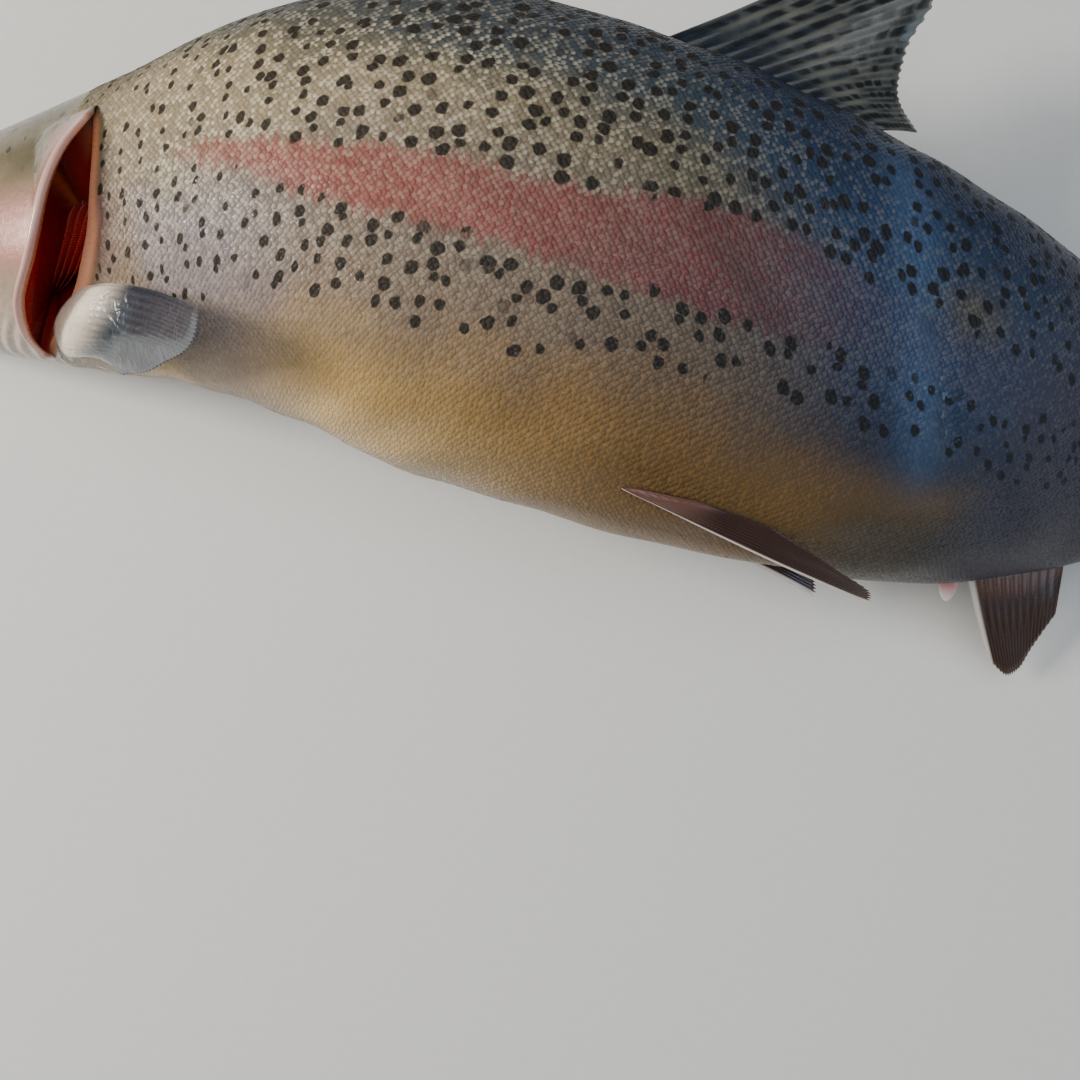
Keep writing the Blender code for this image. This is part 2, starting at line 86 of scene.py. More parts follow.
world = bpy.data.worlds.new("studio")
world.use_nodes = True
world.node_tree.nodes["Background"].inputs["Color"].default_value = (0.80, 0.84, 0.90, 1)
world.node_tree.nodes["Background"].inputs["Strength"].default_value = 0.20
bpy.context.scene.world = world

# %% [markdown]
# ## The straight fish
#
# The body is easiest to describe straight: x runs from the snout to the tail, y from belly to back and z
# from the right flank to the left. Smooth curves through a few stations give its half depths and half
# width.

# %% Body outline
LENGTH = 0.465  # metres, from the snout to the end of the tail stalk
# Stations and sizes are shares of the length.
STATIONS = (0.0, 0.05, 0.12, 0.18, 0.235, 0.33, 0.42, 0.50, 0.60, 0.70, 0.78, 0.85, 0.92, 1.0)
BACK = (0.026, 0.043, 0.063, 0.077, 0.091, 0.122, 0.134, 0.133, 0.119, 0.097, 0.075, 0.059, 0.051, 0.052)
BELLY = (0.026, 0.040, 0.060, 0.073, 0.083, 0.108, 0.126, 0.125, 0.117, 0.108, 0.089, 0.063, 0.050, 0.050)
FLANK = (0.020, 0.035, 0.050, 0.056, 0.060, 0.067, 0.069, 0.068, 0.060, 0.046, 0.034, 0.026, 0.018, 0.010)
SNOUT_ROUNDING = 0.030
FLANK_FULLNESS = 0.90  # a power; below 1 the flanks are fuller than an ellipse


def smooth(stations, values):
    """A smooth curve through the values that never overshoots them (cubic pieces with limited slopes)."""
    x = np.asarray(stations, float)
    y = np.asarray(values, float)
    step = np.diff(x)
    rise = np.diff(y) / step
    same_way = rise[:-1] * rise[1:] > 0
    mean = 2 * rise[:-1] * rise[1:] / np.where(same_way, rise[:-1] + rise[1:], 1)
    slope = np.concatenate([rise[:1], np.where(same_way, mean, 0), rise[-1:]])

    def at(where):
        w = np.clip(np.asarray(where, float), x[0], x[-1])
        i = np.clip(np.searchsorted(x, w, side="right") - 1, 0, len(step) - 1)
        t = (w - x[i]) / step[i]
        return (
            y[i] * (1 + 2 * t) * (1 - t) ** 2
            + slope[i] * step[i] * t * (1 - t) ** 2
            + y[i + 1] * t * t * (3 - 2 * t)
            + slope[i + 1] * step[i] * t * t * (t - 1)
        )

    return at


def ease(t):
    """0 below 0, 1 above 1, and an S-curve between."""
    t = np.clip(t, 0, 1)
    return t * t * (3 - 2 * t)


def ridge(distance, width):
    """A soft ridge: 1 on the line, falling with the distance from it like a bell."""
    return np.exp(-((distance / width) ** 2))


def unit(vectors):
    """The same directions with a length of one."""
    return vectors / np.maximum(np.linalg.norm(vectors, axis=-1), 1e-12)[..., None]


back_height = smooth(STATIONS, BACK)
belly_depth = smooth(STATIONS, BELLY)
flank_width = smooth(STATIONS, FLANK)


def flesh(x, angle, size=1.0):
    """The straight body's surface at x, at an angle in degrees from the middle of the back round by the
    left flank: y is the half depth times the cosine, z the half width times a power of the sine, and both
    shrink to nothing on a quarter circle at the snout. A size below 1 gives the same form inside the
    body."""
    x, angle, size = np.broadcast_arrays(np.asarray(x, float), np.radians(angle), size)
    along = x / LENGTH
    tip = np.clip(along / SNOUT_ROUNDING, 0, 1)
    rounding = np.sqrt(1 - (1 - tip) ** 2) * size
    c, s = np.cos(angle), np.sin(angle)
    y = np.where(c > 0, back_height(along), belly_depth(along)) * c
    z = flank_width(along) * np.sign(s) * np.abs(s) ** FLANK_FULLNESS
    return np.stack([x, y * rounding * LENGTH, z * rounding * LENGTH], -1)


# %% [markdown]
# ## The bent fish
#
# The straight fish is then carried along a curved spine. The spine droops at both ends, sweeps towards the
# belly and back, and turns a little about its own length behind the middle, so that the back shows there.

# %% Spine
# Angles in degrees: pitch is the slope towards the floor, yaw the sweep in plan and roll the turn.
PITCH_STATIONS = (0.0, 0.235, 0.35, 0.5, 0.62, 0.74, 0.83, 0.92, 1.0, 1.2)
PITCH = (-15.0, -14.0, -11.0, -1.0, 6.0, 22.0, 24.0, 14.0, 2.0, 0.0)
YAW_STATIONS = (0.0, 0.235, 0.5, 0.74, 1.0, 1.2)
YAW = (3.0, 1.0, -19.0, -9.0, 8.0, 10.0)
ROLL_STATIONS = (0.0, 0.235, 0.5, 0.62, 0.74, 0.9, 1.0, 1.2)
ROLL = (0.0, 4.0, 0.0, 10.0, 17.0, 8.0, 0.0, 0.0)
SNOUT_AT = (-0.2505, 0.0240, 0.0086)
SPINE_STEP = 0.001
SPINE_REACH = 1.25  # of the fish's length, so that the spine carries the tail fin too


def spine():
    """The bent spine in millimetre steps: where it is, and its three directions there."""
    along = np.arange(0, SPINE_REACH * LENGTH, SPINE_STEP)
    station = along / LENGTH
    pitch, yaw, roll = (
        np.radians(smooth(at, angle)(station))
        for at, angle in ((PITCH_STATIONS, PITCH), (YAW_STATIONS, YAW), (ROLL_STATIONS, ROLL))
    )
    tailward = np.stack([np.cos(pitch) * np.cos(yaw), np.cos(pitch) * np.sin(yaw), -np.sin(pitch)], 1)
    middles = (tailward[1:] + tailward[:-1]) / 2 * SPINE_STEP
    place = np.array(SNOUT_AT) + np.vstack([np.zeros(3), np.cumsum(middles, 0)])
    leftward = np.array([0.0, 0.0, 1.0]) - tailward * tailward[:, 2:]
    leftward /= np.linalg.norm(leftward, axis=1)[:, None]
    backward = np.cross(leftward, tailward)
    c, s = np.cos(roll)[:, None], np.sin(roll)[:, None]
    return along, place, tailward, backward * c + leftward * s, leftward * c - backward * s


SPINE = spine()


def bend(points):
    """Carries points of the straight fish to their places: the spine's place at their x, plus y times its
    direction to the back there and z times its direction to the left."""
    along, *columns = SPINE
    x = points[..., 0]
    place, tailward, dorsal, left = (
        np.stack([np.interp(x, along, column[:, i]) for i in range(3)], -1) for column in columns
    )
    early = np.minimum(x, 0)[..., None]
    return place + tailward * early + dorsal * points[..., 1:2] + left * points[..., 2:3]


# %% [markdown]
# ## Distance round the body
#
# Scales and markings are spaced in millimetres of skin, not in degrees. A table of the distance from the
# middle of the back, at many places along the body, turns angles into distances from the lateral line.

# %% Girth table
TABLE_X = np.linspace(0, LENGTH, 187)
TABLE_ANGLE = np.linspace(0, 180, 181)


def girth_table():
    """The distance over the skin from the middle of the back, summed over steps of one degree."""
    ring = flesh(TABLE_X[:, None], TABLE_ANGLE[None])
    steps = np.linalg.norm(np.diff(ring, axis=1), axis=-1)
    return np.concatenate([np.zeros((len(TABLE_X), 1)), np.cumsum(steps, 1)], 1)


FROM_BACK = girth_table()
ABOVE = FROM_BACK[:, 90]
BELOW = FROM_BACK[:, 180] - FROM_BACK[:, 90]


def from_line(x, angle):
    """Distance over the skin from the lateral line, in metres: up is positive, down negative."""
    fold = np.abs((np.asarray(angle, float) + 180) % 360 - 180)
    row = np.clip(x / LENGTH, 0, 1) * (len(TABLE_X) - 1)
    i = np.minimum(row.astype(int), len(TABLE_X) - 2)
    j = np.minimum(fold.astype(int), 179)
    t, s = row - i, fold - j
    low = FROM_BACK[i, j] * (1 - s) + FROM_BACK[i, j + 1] * s
    high = FROM_BACK[i + 1, j] * (1 - s) + FROM_BACK[i + 1, j + 1] * s
    return np.interp(x, TABLE_X, ABOVE) - (low * (1 - t) + high * t)


print("girth at the dorsal fin", round(2 * float(FROM_BACK[93, 180]), 4), "m")

# %% [markdown]
# ## Building a mesh from arrays
#
# One helper turns arrays of points and faces into an object. Numbers that a material reads, such as where
# the stripe lies, go with the points as named attributes.

# %% Mesh helper
import bmesh


def make_piece(name, points, faces, values, weld=0.0):
    """An object from points (n x 3), faces (m x 3 or 4) and named values for each point. Points closer than
    weld are merged, and a closed mesh that came out inside out is turned."""
    mesh = bpy.data.meshes.new(name)
    mesh.vertices.add(len(points))
    mesh.vertices.foreach_set("co", points.astype(np.float32).ravel())
    mesh.loops.add(faces.size)
    mesh.loops.foreach_set("vertex_index", faces.astype(np.int32).ravel())
    mesh.polygons.add(len(faces))
    mesh.polygons.foreach_set("loop_start", np.arange(len(faces), dtype=np.int32) * faces.shape[1])
    for key, numbers in values.items():
        carried = mesh.attributes.new(key, "FLOAT", "POINT").data
        carried.foreach_set("value", numbers.astype(np.float32).ravel())
    mesh.update(calc_edges=True)
    if weld > 0:
        work = bmesh.new()
        work.from_mesh(mesh)
        bmesh.ops.remove_doubles(work, verts=work.verts, dist=weld)
        if work.calc_volume(signed=True) < 0:
            bmesh.ops.reverse_faces(work, faces=work.faces)
        work.to_mesh(mesh)
        work.free()
    mesh.validate()
    mesh.shade_smooth()
    made = bpy.data.objects.new(name, mesh)
    bpy.context.scene.collection.objects.link(made)
    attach(made, "root")
    print(name, len(mesh.vertices), "points,", len(mesh.polygons), "faces")
    return made


def grid_faces(rows, columns, closed=False):
    """Quads between the neighbours of a grid, joined round the columns when it is closed."""
    i, j = np.meshgrid(np.arange(rows - 1), np.arange(columns if closed else columns - 1), indexing="ij")
    near, far = i * columns, (i + 1) * columns
    k = (j + 1) % columns
    return np.stack([near + j, near + k, far + k, far + j], -1).reshape(-1, 4)


def normals_of(points, closed=False):
    """Unit normals of a grid of points, from the slopes along its rows and columns."""
    if closed:
        wide = np.concatenate([points[:, -1:], points, points[:, :1]], 1)
        across = (wide[:, 2:] - wide[:, :-2]) / 2
    else:
        across = np.gradient(points, axis=1)
    return unit(np.cross(across, np.gradient(points, axis=0)))


# %% [markdown]
# ## Markings
#
# A rainbow trout wears black spots, a pink stripe and a back that is darker than its belly. The spots come
# from a lattice of cells over the skin, each with at most one spot at a shaken place. Here only their
# density is worked out; the materials draw them, from the distance along and round the body that every
# point carries, so that a spot that starts on one scale goes on over the next with a crisp edge.

# %% Where the stripe and the spots are
STRIPE_STATIONS = (0.16, 0.26, 0.295, 0.36, 0.41, 0.46, 0.53, 0.575, 0.61, 0.70, 1.0)
STRIPE_HALF = (0.0, 0.001, 0.0028, 0.0062, 0.0077, 0.0087, 0.0114, 0.0106, 0.0080, 0.0065, 0.004)
STRIPE_MIDDLE = (0.012, 0.0118, 0.0112, 0.0054, 0.0040, 0.0030, 0.0068, 0.0088, 0.0098, 0.007, 0.003)
stripe_half = smooth(STRIPE_STATIONS, STRIPE_HALF)
stripe_middle = smooth(STRIPE_STATIONS, STRIPE_MIDDLE)
LOWEST_STATIONS = (0.2, 0.35, 0.43, 0.46, 0.50, 0.54, 0.57, 0.62, 0.70, 1.0)
LOWEST = (-0.022, -0.022, -0.028, -0.029, -0.022, -0.019, -0.013, -0.014, -0.014, -0.012)
lowest_spots = smooth(LOWEST_STATIONS, LOWEST)
SPOT_CELL_ALONG, SPOT_CELL_UP = 0.0052, 0.0044  # metres between the middles of two cells
SPOTTED_ABOVE, SPOTTED_BELOW = 0.94, 0.88  # shares of the cells that hold a spot on the trunk


def spot_density(x, line):
    """The share of cells that hold a spot, at x and at a distance above the lateral line, where neither the
    stripe nor the belly keeps spots away."""
    along = x / LENGTH
    above = ease((line - stripe_middle(along)) / 0.002)
    rear = 1 - 0.20 * ease((along - 0.56) / 0.06) * ease((0.80 - along) / 0.05)
    body = SPOTTED_ABOVE * above + SPOTTED_BELOW * rear * (1 - above)
    crown, cheek = ease((line - 0.002) / 0.010), ease((line + 0.016) / 0.008)
    head = ease((along - 0.03) / 0.05) * (0.5 * crown + 0.1 * cheek)
    return head + (body - head) * ease((along - 0.205) / 0.03)


# %% Stripe and other zones
def markings(x, angle):
    """The values that skin and scales share: how far along the body and round it from the middle of the
    back, how high, how many spots and dashes, how far from the stripe and from the lowest spots, and the
    masks of the stripe (a band round its middle line with soft, slightly ragged edges), of a band of painted
    sky reflection above the vent, of a brown blotch behind it and of a greenish patch."""
    line = from_line(x, angle)
    left = np.sin(np.radians(angle)) >= 0
    along = x / LENGTH
    above, below = np.interp(x, TABLE_X, ABOVE), np.interp(x, TABLE_X, BELOW)
    high = np.where(line > 0, line / np.maximum(above, 1e-4), line / np.maximum(below, 1e-4))
    ragged = 0.0011 * np.sin(x * 900 + 3 * np.sin(x * 410)) + 0.0008 * np.sin(x * 2300 + line * 900)
    fainter = 1 - 0.85 * ease((along - 0.52) / 0.11)
    inside = stripe_half(along) - np.abs(line - stripe_middle(along)) + ragged
    slope = along + 0.734 * line - 0.646
    return {
        "along": along,
        "round_back": (above - line) * np.where(left, 1.0, -1.0),
        "height": 0.5 + 0.5 * np.clip(high, -1, 1),
        "stripe": ease(inside / 0.0044 + 0.5) * fainter * ease((along - 0.262) / 0.045),
        "spot_density": spot_density(x, line),
        "dash_density": 0.9 * ridge(along - 0.725, 0.040) * ridge(line + 0.0060, 0.0070),
        "above_stripe": line - stripe_middle(along),
        "stripe_half": stripe_half(along),
        "above_lowest": line - lowest_spots(along),
        "painted_sky_reflection": ridge(slope, 0.014) * ease((high + 0.50) / 0.3) * ease((0.90 - high) / 0.3),
        "blotch": ridge(along - 0.660, 0.018) * ridge(high - 0.32, 0.11),
        "green_patch": ridge(along - 0.273, 0.007) * ridge(high - 0.09, 0.09),
    }


# %% [markdown]
# ## The form of the skin
#
# The head's bones show through its thin skin: the edge of the mouth, the plate along the upper jaw, the rim
# round the eye, two nostrils and the curved cheek plate. Each is a small rise or hollow added to the smooth
# body. The trunk has the lateral line's shallow groove and a few soft folds.

# %% Relief
MOUTH_LINE = ((-0.010, -0.0015), (0.006, -0.0030), (0.026, -0.0085), (0.044, -0.0165), (0.055, -0.0235))
EYE_AT = (0.0350, 0.0080, 0.0131)
EYE_RIM = 0.0090  # radius of the soft rim round the eye
NOSTRILS = ((0.0186, 0.0118, 0.0016, 0.0009), (0.0218, 0.0128, 0.0018, 0.0010))  # x, y, depth and radius
PLATE_FROM, PLATE_LONG = 0.011, 0.043  # the plate of the upper jaw, over the corner of the mouth
CHEEK_PLATE_END = 0.0640
COAT_DEPTH = 0.0006  # the skin lies this far inside the model's solids
mouth_line = smooth(*zip(*MOUTH_LINE))


def head_relief(x, y, z):
    """Rises and hollows of the head in metres, at points of the straight head seen from the side."""
    front = ease((0.0560 - x) / 0.004)
    off = y - mouth_line(x)
    lips = 0.0005 * ridge(off + 0.0022, 0.0013) + 0.0003 * ridge(off - 0.0018, 0.0010)
    mouth = lips - 0.0016 * ridge(off, 0.0008)
    a = (x - PLATE_FROM) / PLATE_LONG
    width = 0.0030 + 0.0042 * np.sin(np.pi * np.clip(0.25 + 0.62 * a, 0, 1))
    s = (off - 0.0005) / width
    inside_ends = ease(a / 0.08) * ease((1 - a) / 0.06)
    plate = 0.0008 * ease(s / 0.14) * ease((1 - s) / 0.14) - 0.0005 * ridge((s - 1.10) * width, 0.0006)
    plate = plate * inside_ends
    away = np.hypot(x - EYE_AT[0], y - EYE_AT[1])
    socket = -0.0048 * ease((EYE_RIM - 0.0009 - away) / 0.0010)
    eye = socket + 0.0007 * ridge(away - EYE_RIM, 0.0010) - 0.0003 * ridge(away - EYE_RIM - 0.0022, 0.0009)
    nostrils = 0
    for nostril_x, nostril_y, deep, radius in NOSTRILS:
        nostrils = nostrils - deep * ridge(np.hypot(x - nostril_x, (y - nostril_y) * 0.8), radius)
    cheek_x = CHEEK_PLATE_END - 0.0065 * ((y - 0.001) / 0.020) ** 2
    tall = ease((0.021 - y) / 0.006) * ease((y + 0.029) / 0.006)
    cheek = (-0.0006 * ridge(x - cheek_x, 0.0009) + 0.0004 * ridge(x - cheek_x + 0.0024, 0.0020)) * tall
    under = ease((-0.020 - y) / 0.004) * ease((x - 0.045) / 0.01)
    rays = 0.00035 * np.sin((x * 0.8 - y) * 1500) * under
    chin = -0.0009 * ridge(z, 0.0016) * ease((-y - 0.006) / 0.004) * ease((0.058 - x) / 0.01)
    crown = 0.0004 * ridge(z, 0.0030) * ease((y - 0.014) / 0.004)
    return (mouth + plate) * front + eye + nostrils + cheek + rays + chin + crown


def trunk_relief(x, line, left):
    """Rises and hollows of the trunk in metres: the lateral line, soft folds, and the pad at the root of
    each pectoral fin."""
    groove = -0.00012 * ridge(line, 0.0007)
    folds = 0.00035 * np.sin(x * 190 + 5 * np.sin(line * 60)) * np.sin(line * 110 + x * 40)
    off_crease = (x - 0.3060 + 0.455 * line) * 0.91
    crease = -0.0007 * ridge(off_crease, 0.0026) * ease((0.015 - np.abs(line - 0.003)) / 0.010 + 0.5)
    pad = 0.0030 * ridge(x - 0.0915, 0.0105) * ridge(line + 0.0290, 0.0100)
    return groove + folds + crease + np.where(left, pad, 0.4 * pad)


def relief(x, angle):
    """Head and trunk relief together, fading from one to the other at the shoulder."""
    straight = flesh(x, angle)
    line = from_line(x, angle)
    left = np.sin(np.radians(angle)) >= 0
    on_trunk = ease((x - shoulder_edge(np.abs(angle)) - 0.0005) / 0.006)
    head = head_relief(x, straight[..., 1], straight[..., 2])
    return head * (1 - ease((x - 0.085) / 0.012)) + trunk_relief(x, line, left) * on_trunk


# %% [markdown]
# ## The gill opening
#
# The cover over the gills is a thin bony flap hinged behind the cheek. On the left it stands open, so each
# line of the skin runs out along the flap, round its edge, back along its lining, down the wall of the
# chamber, along its floor and up the front of the shoulder. On the right it lies shut, and the same path
# shrinks to a small tuck. On the back it shrinks to nothing, and its points are welded.

# %% Path of the skin through the opening
SHOULDER_ANGLES = (0, 46, 70, 90, 112, 130, 150, 165, 180)
SHOULDER = (0.1030, 0.1045, 0.1065, 0.1055, 0.1000, 0.0915, 0.0815, 0.0785, 0.0775)
HINGE_ANGLES = (0, 46, 90, 130, 162, 180)
HINGE = (0.0840, 0.0862, 0.0885, 0.0797, 0.0725, 0.0710)
COVER_FROM, COVER_TO = 46, 164
FLARE_ANGLES = (46, 60, 75, 90, 105, 120, 135, 150, 164)
FLARE = (0, 14, 32, 46, 55, 63, 60, 38, 0)  # degrees that the left cover stands open
FLARE_OUT, FLARE_LEFT = 0.55, 0.45  # how far it swings off the skin, and straight to the left
CHAMBER_FLOOR = 0.36  # share of the head's size at the bottom of the chamber
SHUT_TUCK, SHUT_SWING = 0.10, 0.03  # the right opening's size and swing, as shares of the left's
FLAP_ROWS, RIM_ROWS, LINING_ROWS, WALL_ROWS, FLOOR_ROWS, FRONT_ROWS = 24, 9, 14, 9, 12, 12
RIM_THICK, RIM_THICKER = 0.0017, 0.0007  # at the ends of the flap, and what its middle adds

shoulder_edge = smooth(SHOULDER_ANGLES, SHOULDER)
hinge_line = smooth(HINGE_ANGLES, HINGE)
flare = smooth(FLARE_ANGLES, FLARE)


def swing(angle, side, b):
    """The flap's angle of opening in radians: none at the hinge, and all from a third of the way out."""
    return np.radians(flare(angle)) * np.where(side > 0, 1.0, SHUT_SWING) * ease(b / 0.35)


def cover_surface(angle, side, b):
    """The flap's outer surface: from the hinge at b = 0 it swings out from the head's own surface, most in
    the middle of its height, to the free edge at b = 1."""
    hinge = hinge_line(angle)
    reach = (shoulder_edge(angle) - hinge) * b
    opened = swing(angle, side, b)
    outward = unit(flesh(hinge, side * angle) * np.array([0.0, 1.0, 1.0]))
    outward = outward * FLARE_OUT + np.stack([0 * hinge, 0 * hinge, FLARE_LEFT * side + 0 * hinge], -1)
    fixed = flesh(hinge + reach * np.cos(opened), side * angle)
    return fixed + outward * (reach * np.sin(opened))[..., None]


def cover_normal(angle, side, b):
    """The flap's outward direction: off the skin at the hinge, swung forward as far as the flap is open,
    and made square to the way along the flap."""
    way = unit(cover_surface(angle, side, b + 0.02) - cover_surface(angle, side, b - 0.02))
    off = unit(flesh(hinge_line(angle), side * angle) * np.array([0.0, 1.0, 1.0]))
    opened = swing(angle, side, b)[..., None]
    off = off * np.cos(opened) - np.array([1.0, 0.0, 0.0]) * np.sin(opened)
    return unit(off - way * np.sum(off * way, -1)[..., None])


def skin_through_opening(angle, side):
    """Rows of points for each stretch of the path, in order, and how deep in the opening each is, from 0 to
    1. angle and side hold one value for each line."""
    a = np.clip((angle - COVER_FROM) / (COVER_TO - COVER_FROM), 0, 1)
    open_share = ease(a / 0.06) * ease((1 - a) / 0.05) * np.where(side > 0, 1.0, SHUT_TUCK)
    wide = open_share[None, :, None]
    arch = np.sin(np.pi * a)

    def rows(count, first=0.0, last=1.0):
        """That many even steps from first to last, one column for each line, without the first."""
        return np.linspace(first, last, count + 1)[1:, None] + 0 * angle[None]

    def lines(count):
        """The angle and the side of every line, in that many rows."""
        return np.broadcast_to(angle, (count, len(angle))), np.broadcast_to(side, (count, len(angle)))

    b = rows(FLAP_ROWS)
    rolled = (arch * 0.0006)[None, :, None] * ease((b - 0.62) / 0.3)[..., None]
    flap = cover_surface(*lines(FLAP_ROWS), b) + cover_normal(*lines(FLAP_ROWS), b) * rolled
    edge = flap[-1]
    outward = cover_normal(angle, side, 1.0)
    tailward = unit(edge - flap[-3])
    thick = (RIM_THICK + RIM_THICKER * arch**2)[None, :, None] * wide
    turn = np.pi * rows(RIM_ROWS)[..., None]
    centre = edge - outward * thick / 2
    rim = centre + (outward * np.cos(turn) + tailward * np.sin(turn)) * thick / 2
    b = 1 - (1 - rows(LINING_ROWS, 1.0, 0.16)) * open_share
    thinner = 1 - 0.45 * ease((1 - b) / 0.3)[..., None]
    plain, surface = cover_normal(*lines(LINING_ROWS), b), cover_surface(*lines(LINING_ROWS), b)
    own = normals_of(surface)
    agree = np.sum(own * plain, -1, keepdims=True)
    own = np.where(np.abs(agree) < 0.15, plain, own * np.sign(agree))
    inward = unit(plain + (own - plain) * ease((1 - b) / 0.25)[..., None])
    lining = surface - inward * thick * thinner
    bottom_x = hinge_line(angle) + 0.0030
    corner = flesh(shoulder_edge(angle), side * angle)
    bottom = corner * (1 - wide[0]) + flesh(bottom_x, side * angle, CHAMBER_FLOOR) * wide[0]
    down = ease(rows(WALL_ROWS))[..., None]
    wall = lining[-1] * (1 - down) + bottom * down
    back_x = shoulder_edge(angle) - 0.0016 - 0.0030 * ridge(angle - 112, 30)
    floor_x = bottom_x * (1 - rows(FLOOR_ROWS)) + back_x * rows(FLOOR_ROWS)
    floor = flesh(floor_x, side * angle, CHAMBER_FLOOR)
    climb = rows(FRONT_ROWS)
    front_x = back_x + (shoulder_edge(angle) - back_x) * ease(climb * 1.1) + 0.0006 * np.sin(np.pi * climb)
    front = flesh(front_x, side * angle, CHAMBER_FLOOR + (1 - CHAMBER_FLOOR) * climb**0.8)
    folded = [flap, rim, lining, wall] + [corner * (1 - wide) + part * wide for part in (floor, front)]
    deep = np.concatenate([
        np.zeros(FLAP_ROWS),
        np.linspace(0.02, 0.2, RIM_ROWS),
        np.linspace(0.3, 0.9, LINING_ROWS),
        np.ones(WALL_ROWS + FLOOR_ROWS),
        0.12 + 0.88 * np.linspace(1, 0, FRONT_ROWS) ** 1.6,
    ])
    return np.concatenate(folded), deep[:, None] * open_share[None]


# %% [markdown]
# The whole skin is one grid, so it has no seams. Each of its lines runs from the snout to the tail at its
# own angle, but one follows the edge of the mouth. Its rows are those of the head, of the opening, of the
# trunk and of the end of the tail stalk, which closes flat inside the tail fin.

# %% The skin's grid
LINES = 250
HEAD_ROWS, TRUNK_ROWS, TAIL_ROWS = 118, 171, 9
MOUTH_ANGLE = 118  # the line of the skin, in degrees from the back, that follows the mouth
even = np.arange(LINES) * 360 / LINES
around = np.minimum(even, 360 - even)
side = np.where(even <= 180, 1.0, -1.0)


def follow_the_mouth(x, angle):
    """Moves the lines that run past the mouth onto its edge, so that the edge is sharp: one line goes to
    the mouth's own angle, and its neighbours share the shift."""
    along = x / LENGTH
    tip = np.clip(along / SNOUT_ROUNDING, 0.02, 1)
    depth = belly_depth(along) * LENGTH * np.sqrt(1 - (1 - tip) ** 2)
    mouth = np.degrees(np.arccos(np.clip(mouth_line(x) / depth, -0.86, -0.05)))
    near = np.where(angle < MOUTH_ANGLE, angle / MOUTH_ANGLE, (180 - angle) / (180 - MOUTH_ANGLE))
    return angle + (mouth - MOUTH_ANGLE) * near * (1 - ease((x - 0.048) / 0.012))


def skin_grid():
    """The whole skin as rows of points from the snout to the tail, with the values its material reads: x,
    the angle, how deep in the opening, how far out on the flap, and how near behind the opening."""
    t = np.linspace(0, 1, HEAD_ROWS)[:, None] ** 1.12
    head_x = hinge_line(around)[None] * t
    head_angle = follow_the_mouth(head_x, around[None] + 0 * t)
    head = flesh(head_x, side * head_angle)
    middle, deep = skin_through_opening(around, side)
    t = np.linspace(0, 1, TRUNK_ROWS + 1)[1:, None]
    trunk_x = shoulder_edge(around) * (1 - t) + LENGTH * t
    trunk = flesh(trunk_x, side * around)
    end = np.linspace(0, 1, TAIL_ROWS + 1)[1:, None]
    end_x = LENGTH + 0.010 * end + 0 * around
    taper = np.sqrt(1 - 0.999 * end**2)
    root = flesh(end_x * 0 + LENGTH, side * around)
    tail = np.stack([end_x, root[..., 1] * (1 - 0.06 * end), root[..., 2] * taper], -1)
    straight = np.concatenate([head, middle, trunk, tail])
    angle = around[None] + np.zeros((len(straight), 1))
    angle[:HEAD_ROWS] = head_angle
    hinge, rim_end, behind = HEAD_ROWS, HEAD_ROWS + FLAP_ROWS + RIM_ROWS, HEAD_ROWS + len(middle)
    x = straight[..., 0].copy()
    x[hinge + FLAP_ROWS : behind] = shoulder_edge(around)
    inner, flap = np.zeros(x.shape), np.zeros(x.shape)
    inner[hinge:behind] = deep
    flap[hinge : hinge + FLAP_ROWS] = np.linspace(0, 1, FLAP_ROWS)[:, None]
    flap[hinge + FLAP_ROWS : rim_end] = 1
    a = (around - COVER_FROM) / (COVER_TO - COVER_FROM)
    flap = flap * ease(a / 0.12) * ease((1 - a) / 0.12) * np.where(side > 0, 1.0, 0.7)
    cuff = ease(1 - (x - shoulder_edge(angle)) / (0.0022 + 0.0040 * ridge(angle - 116, 22)))
    cuff = cuff * ease(a / 0.1) * ease((1 - a) / 0.1) * (side > 0)
    cuff[: behind - FRONT_ROWS] = 0
    return straight, x, angle, inner, flap, cuff


straight, skin_x, skin_angle, inner, flap, cuff = skin_grid()
print("skin grid", straight.shape[:2])


# %% [markdown]
# The tail stalk flattens into the tail fin, which lies on the floor. Whatever would pass below the floor is
# pressed flat on it, as soft flesh is.

# %% Settling onto the floor
FIN_MIDDLE = 0.00065  # height of the middle of the tail fin above the floor


def settle(points):
    """Bends points of the straight fish, and brings those behind the stalk down to the tail fin's height
    over 16 mm."""
    bent = bend(points)
    flat = ease((points[..., 0] - LENGTH - 0.002) / 0.016)
    bent[..., 2] = bent[..., 2] * (1 - flat) + (FIN_MIDDLE + points[..., 2]) * flat
    return bent


def on_floor(points, least=0.0):
    """The same points, with those below the least height lifted to it."""
    points[..., 2] = np.maximum(points[..., 2], least)
    return points


def body_normal(x, angle):
    """The plain body's outward direction: square to the ways tailward and round."""
    ahead = settle(flesh(x + 0.0006, angle)) - settle(flesh(x - 0.0006, angle))
    beside = settle(flesh(x, angle + 1)) - settle(flesh(x, angle - 1))
    return unit(np.cross(beside, ahead))


# %% Skin mesh
base = settle(straight)
normal = normals_of(base, closed=True)
if np.mean(np.sum(normal * (base - base.mean(1, keepdims=True)), -1)) < 0:
    normal = -normal
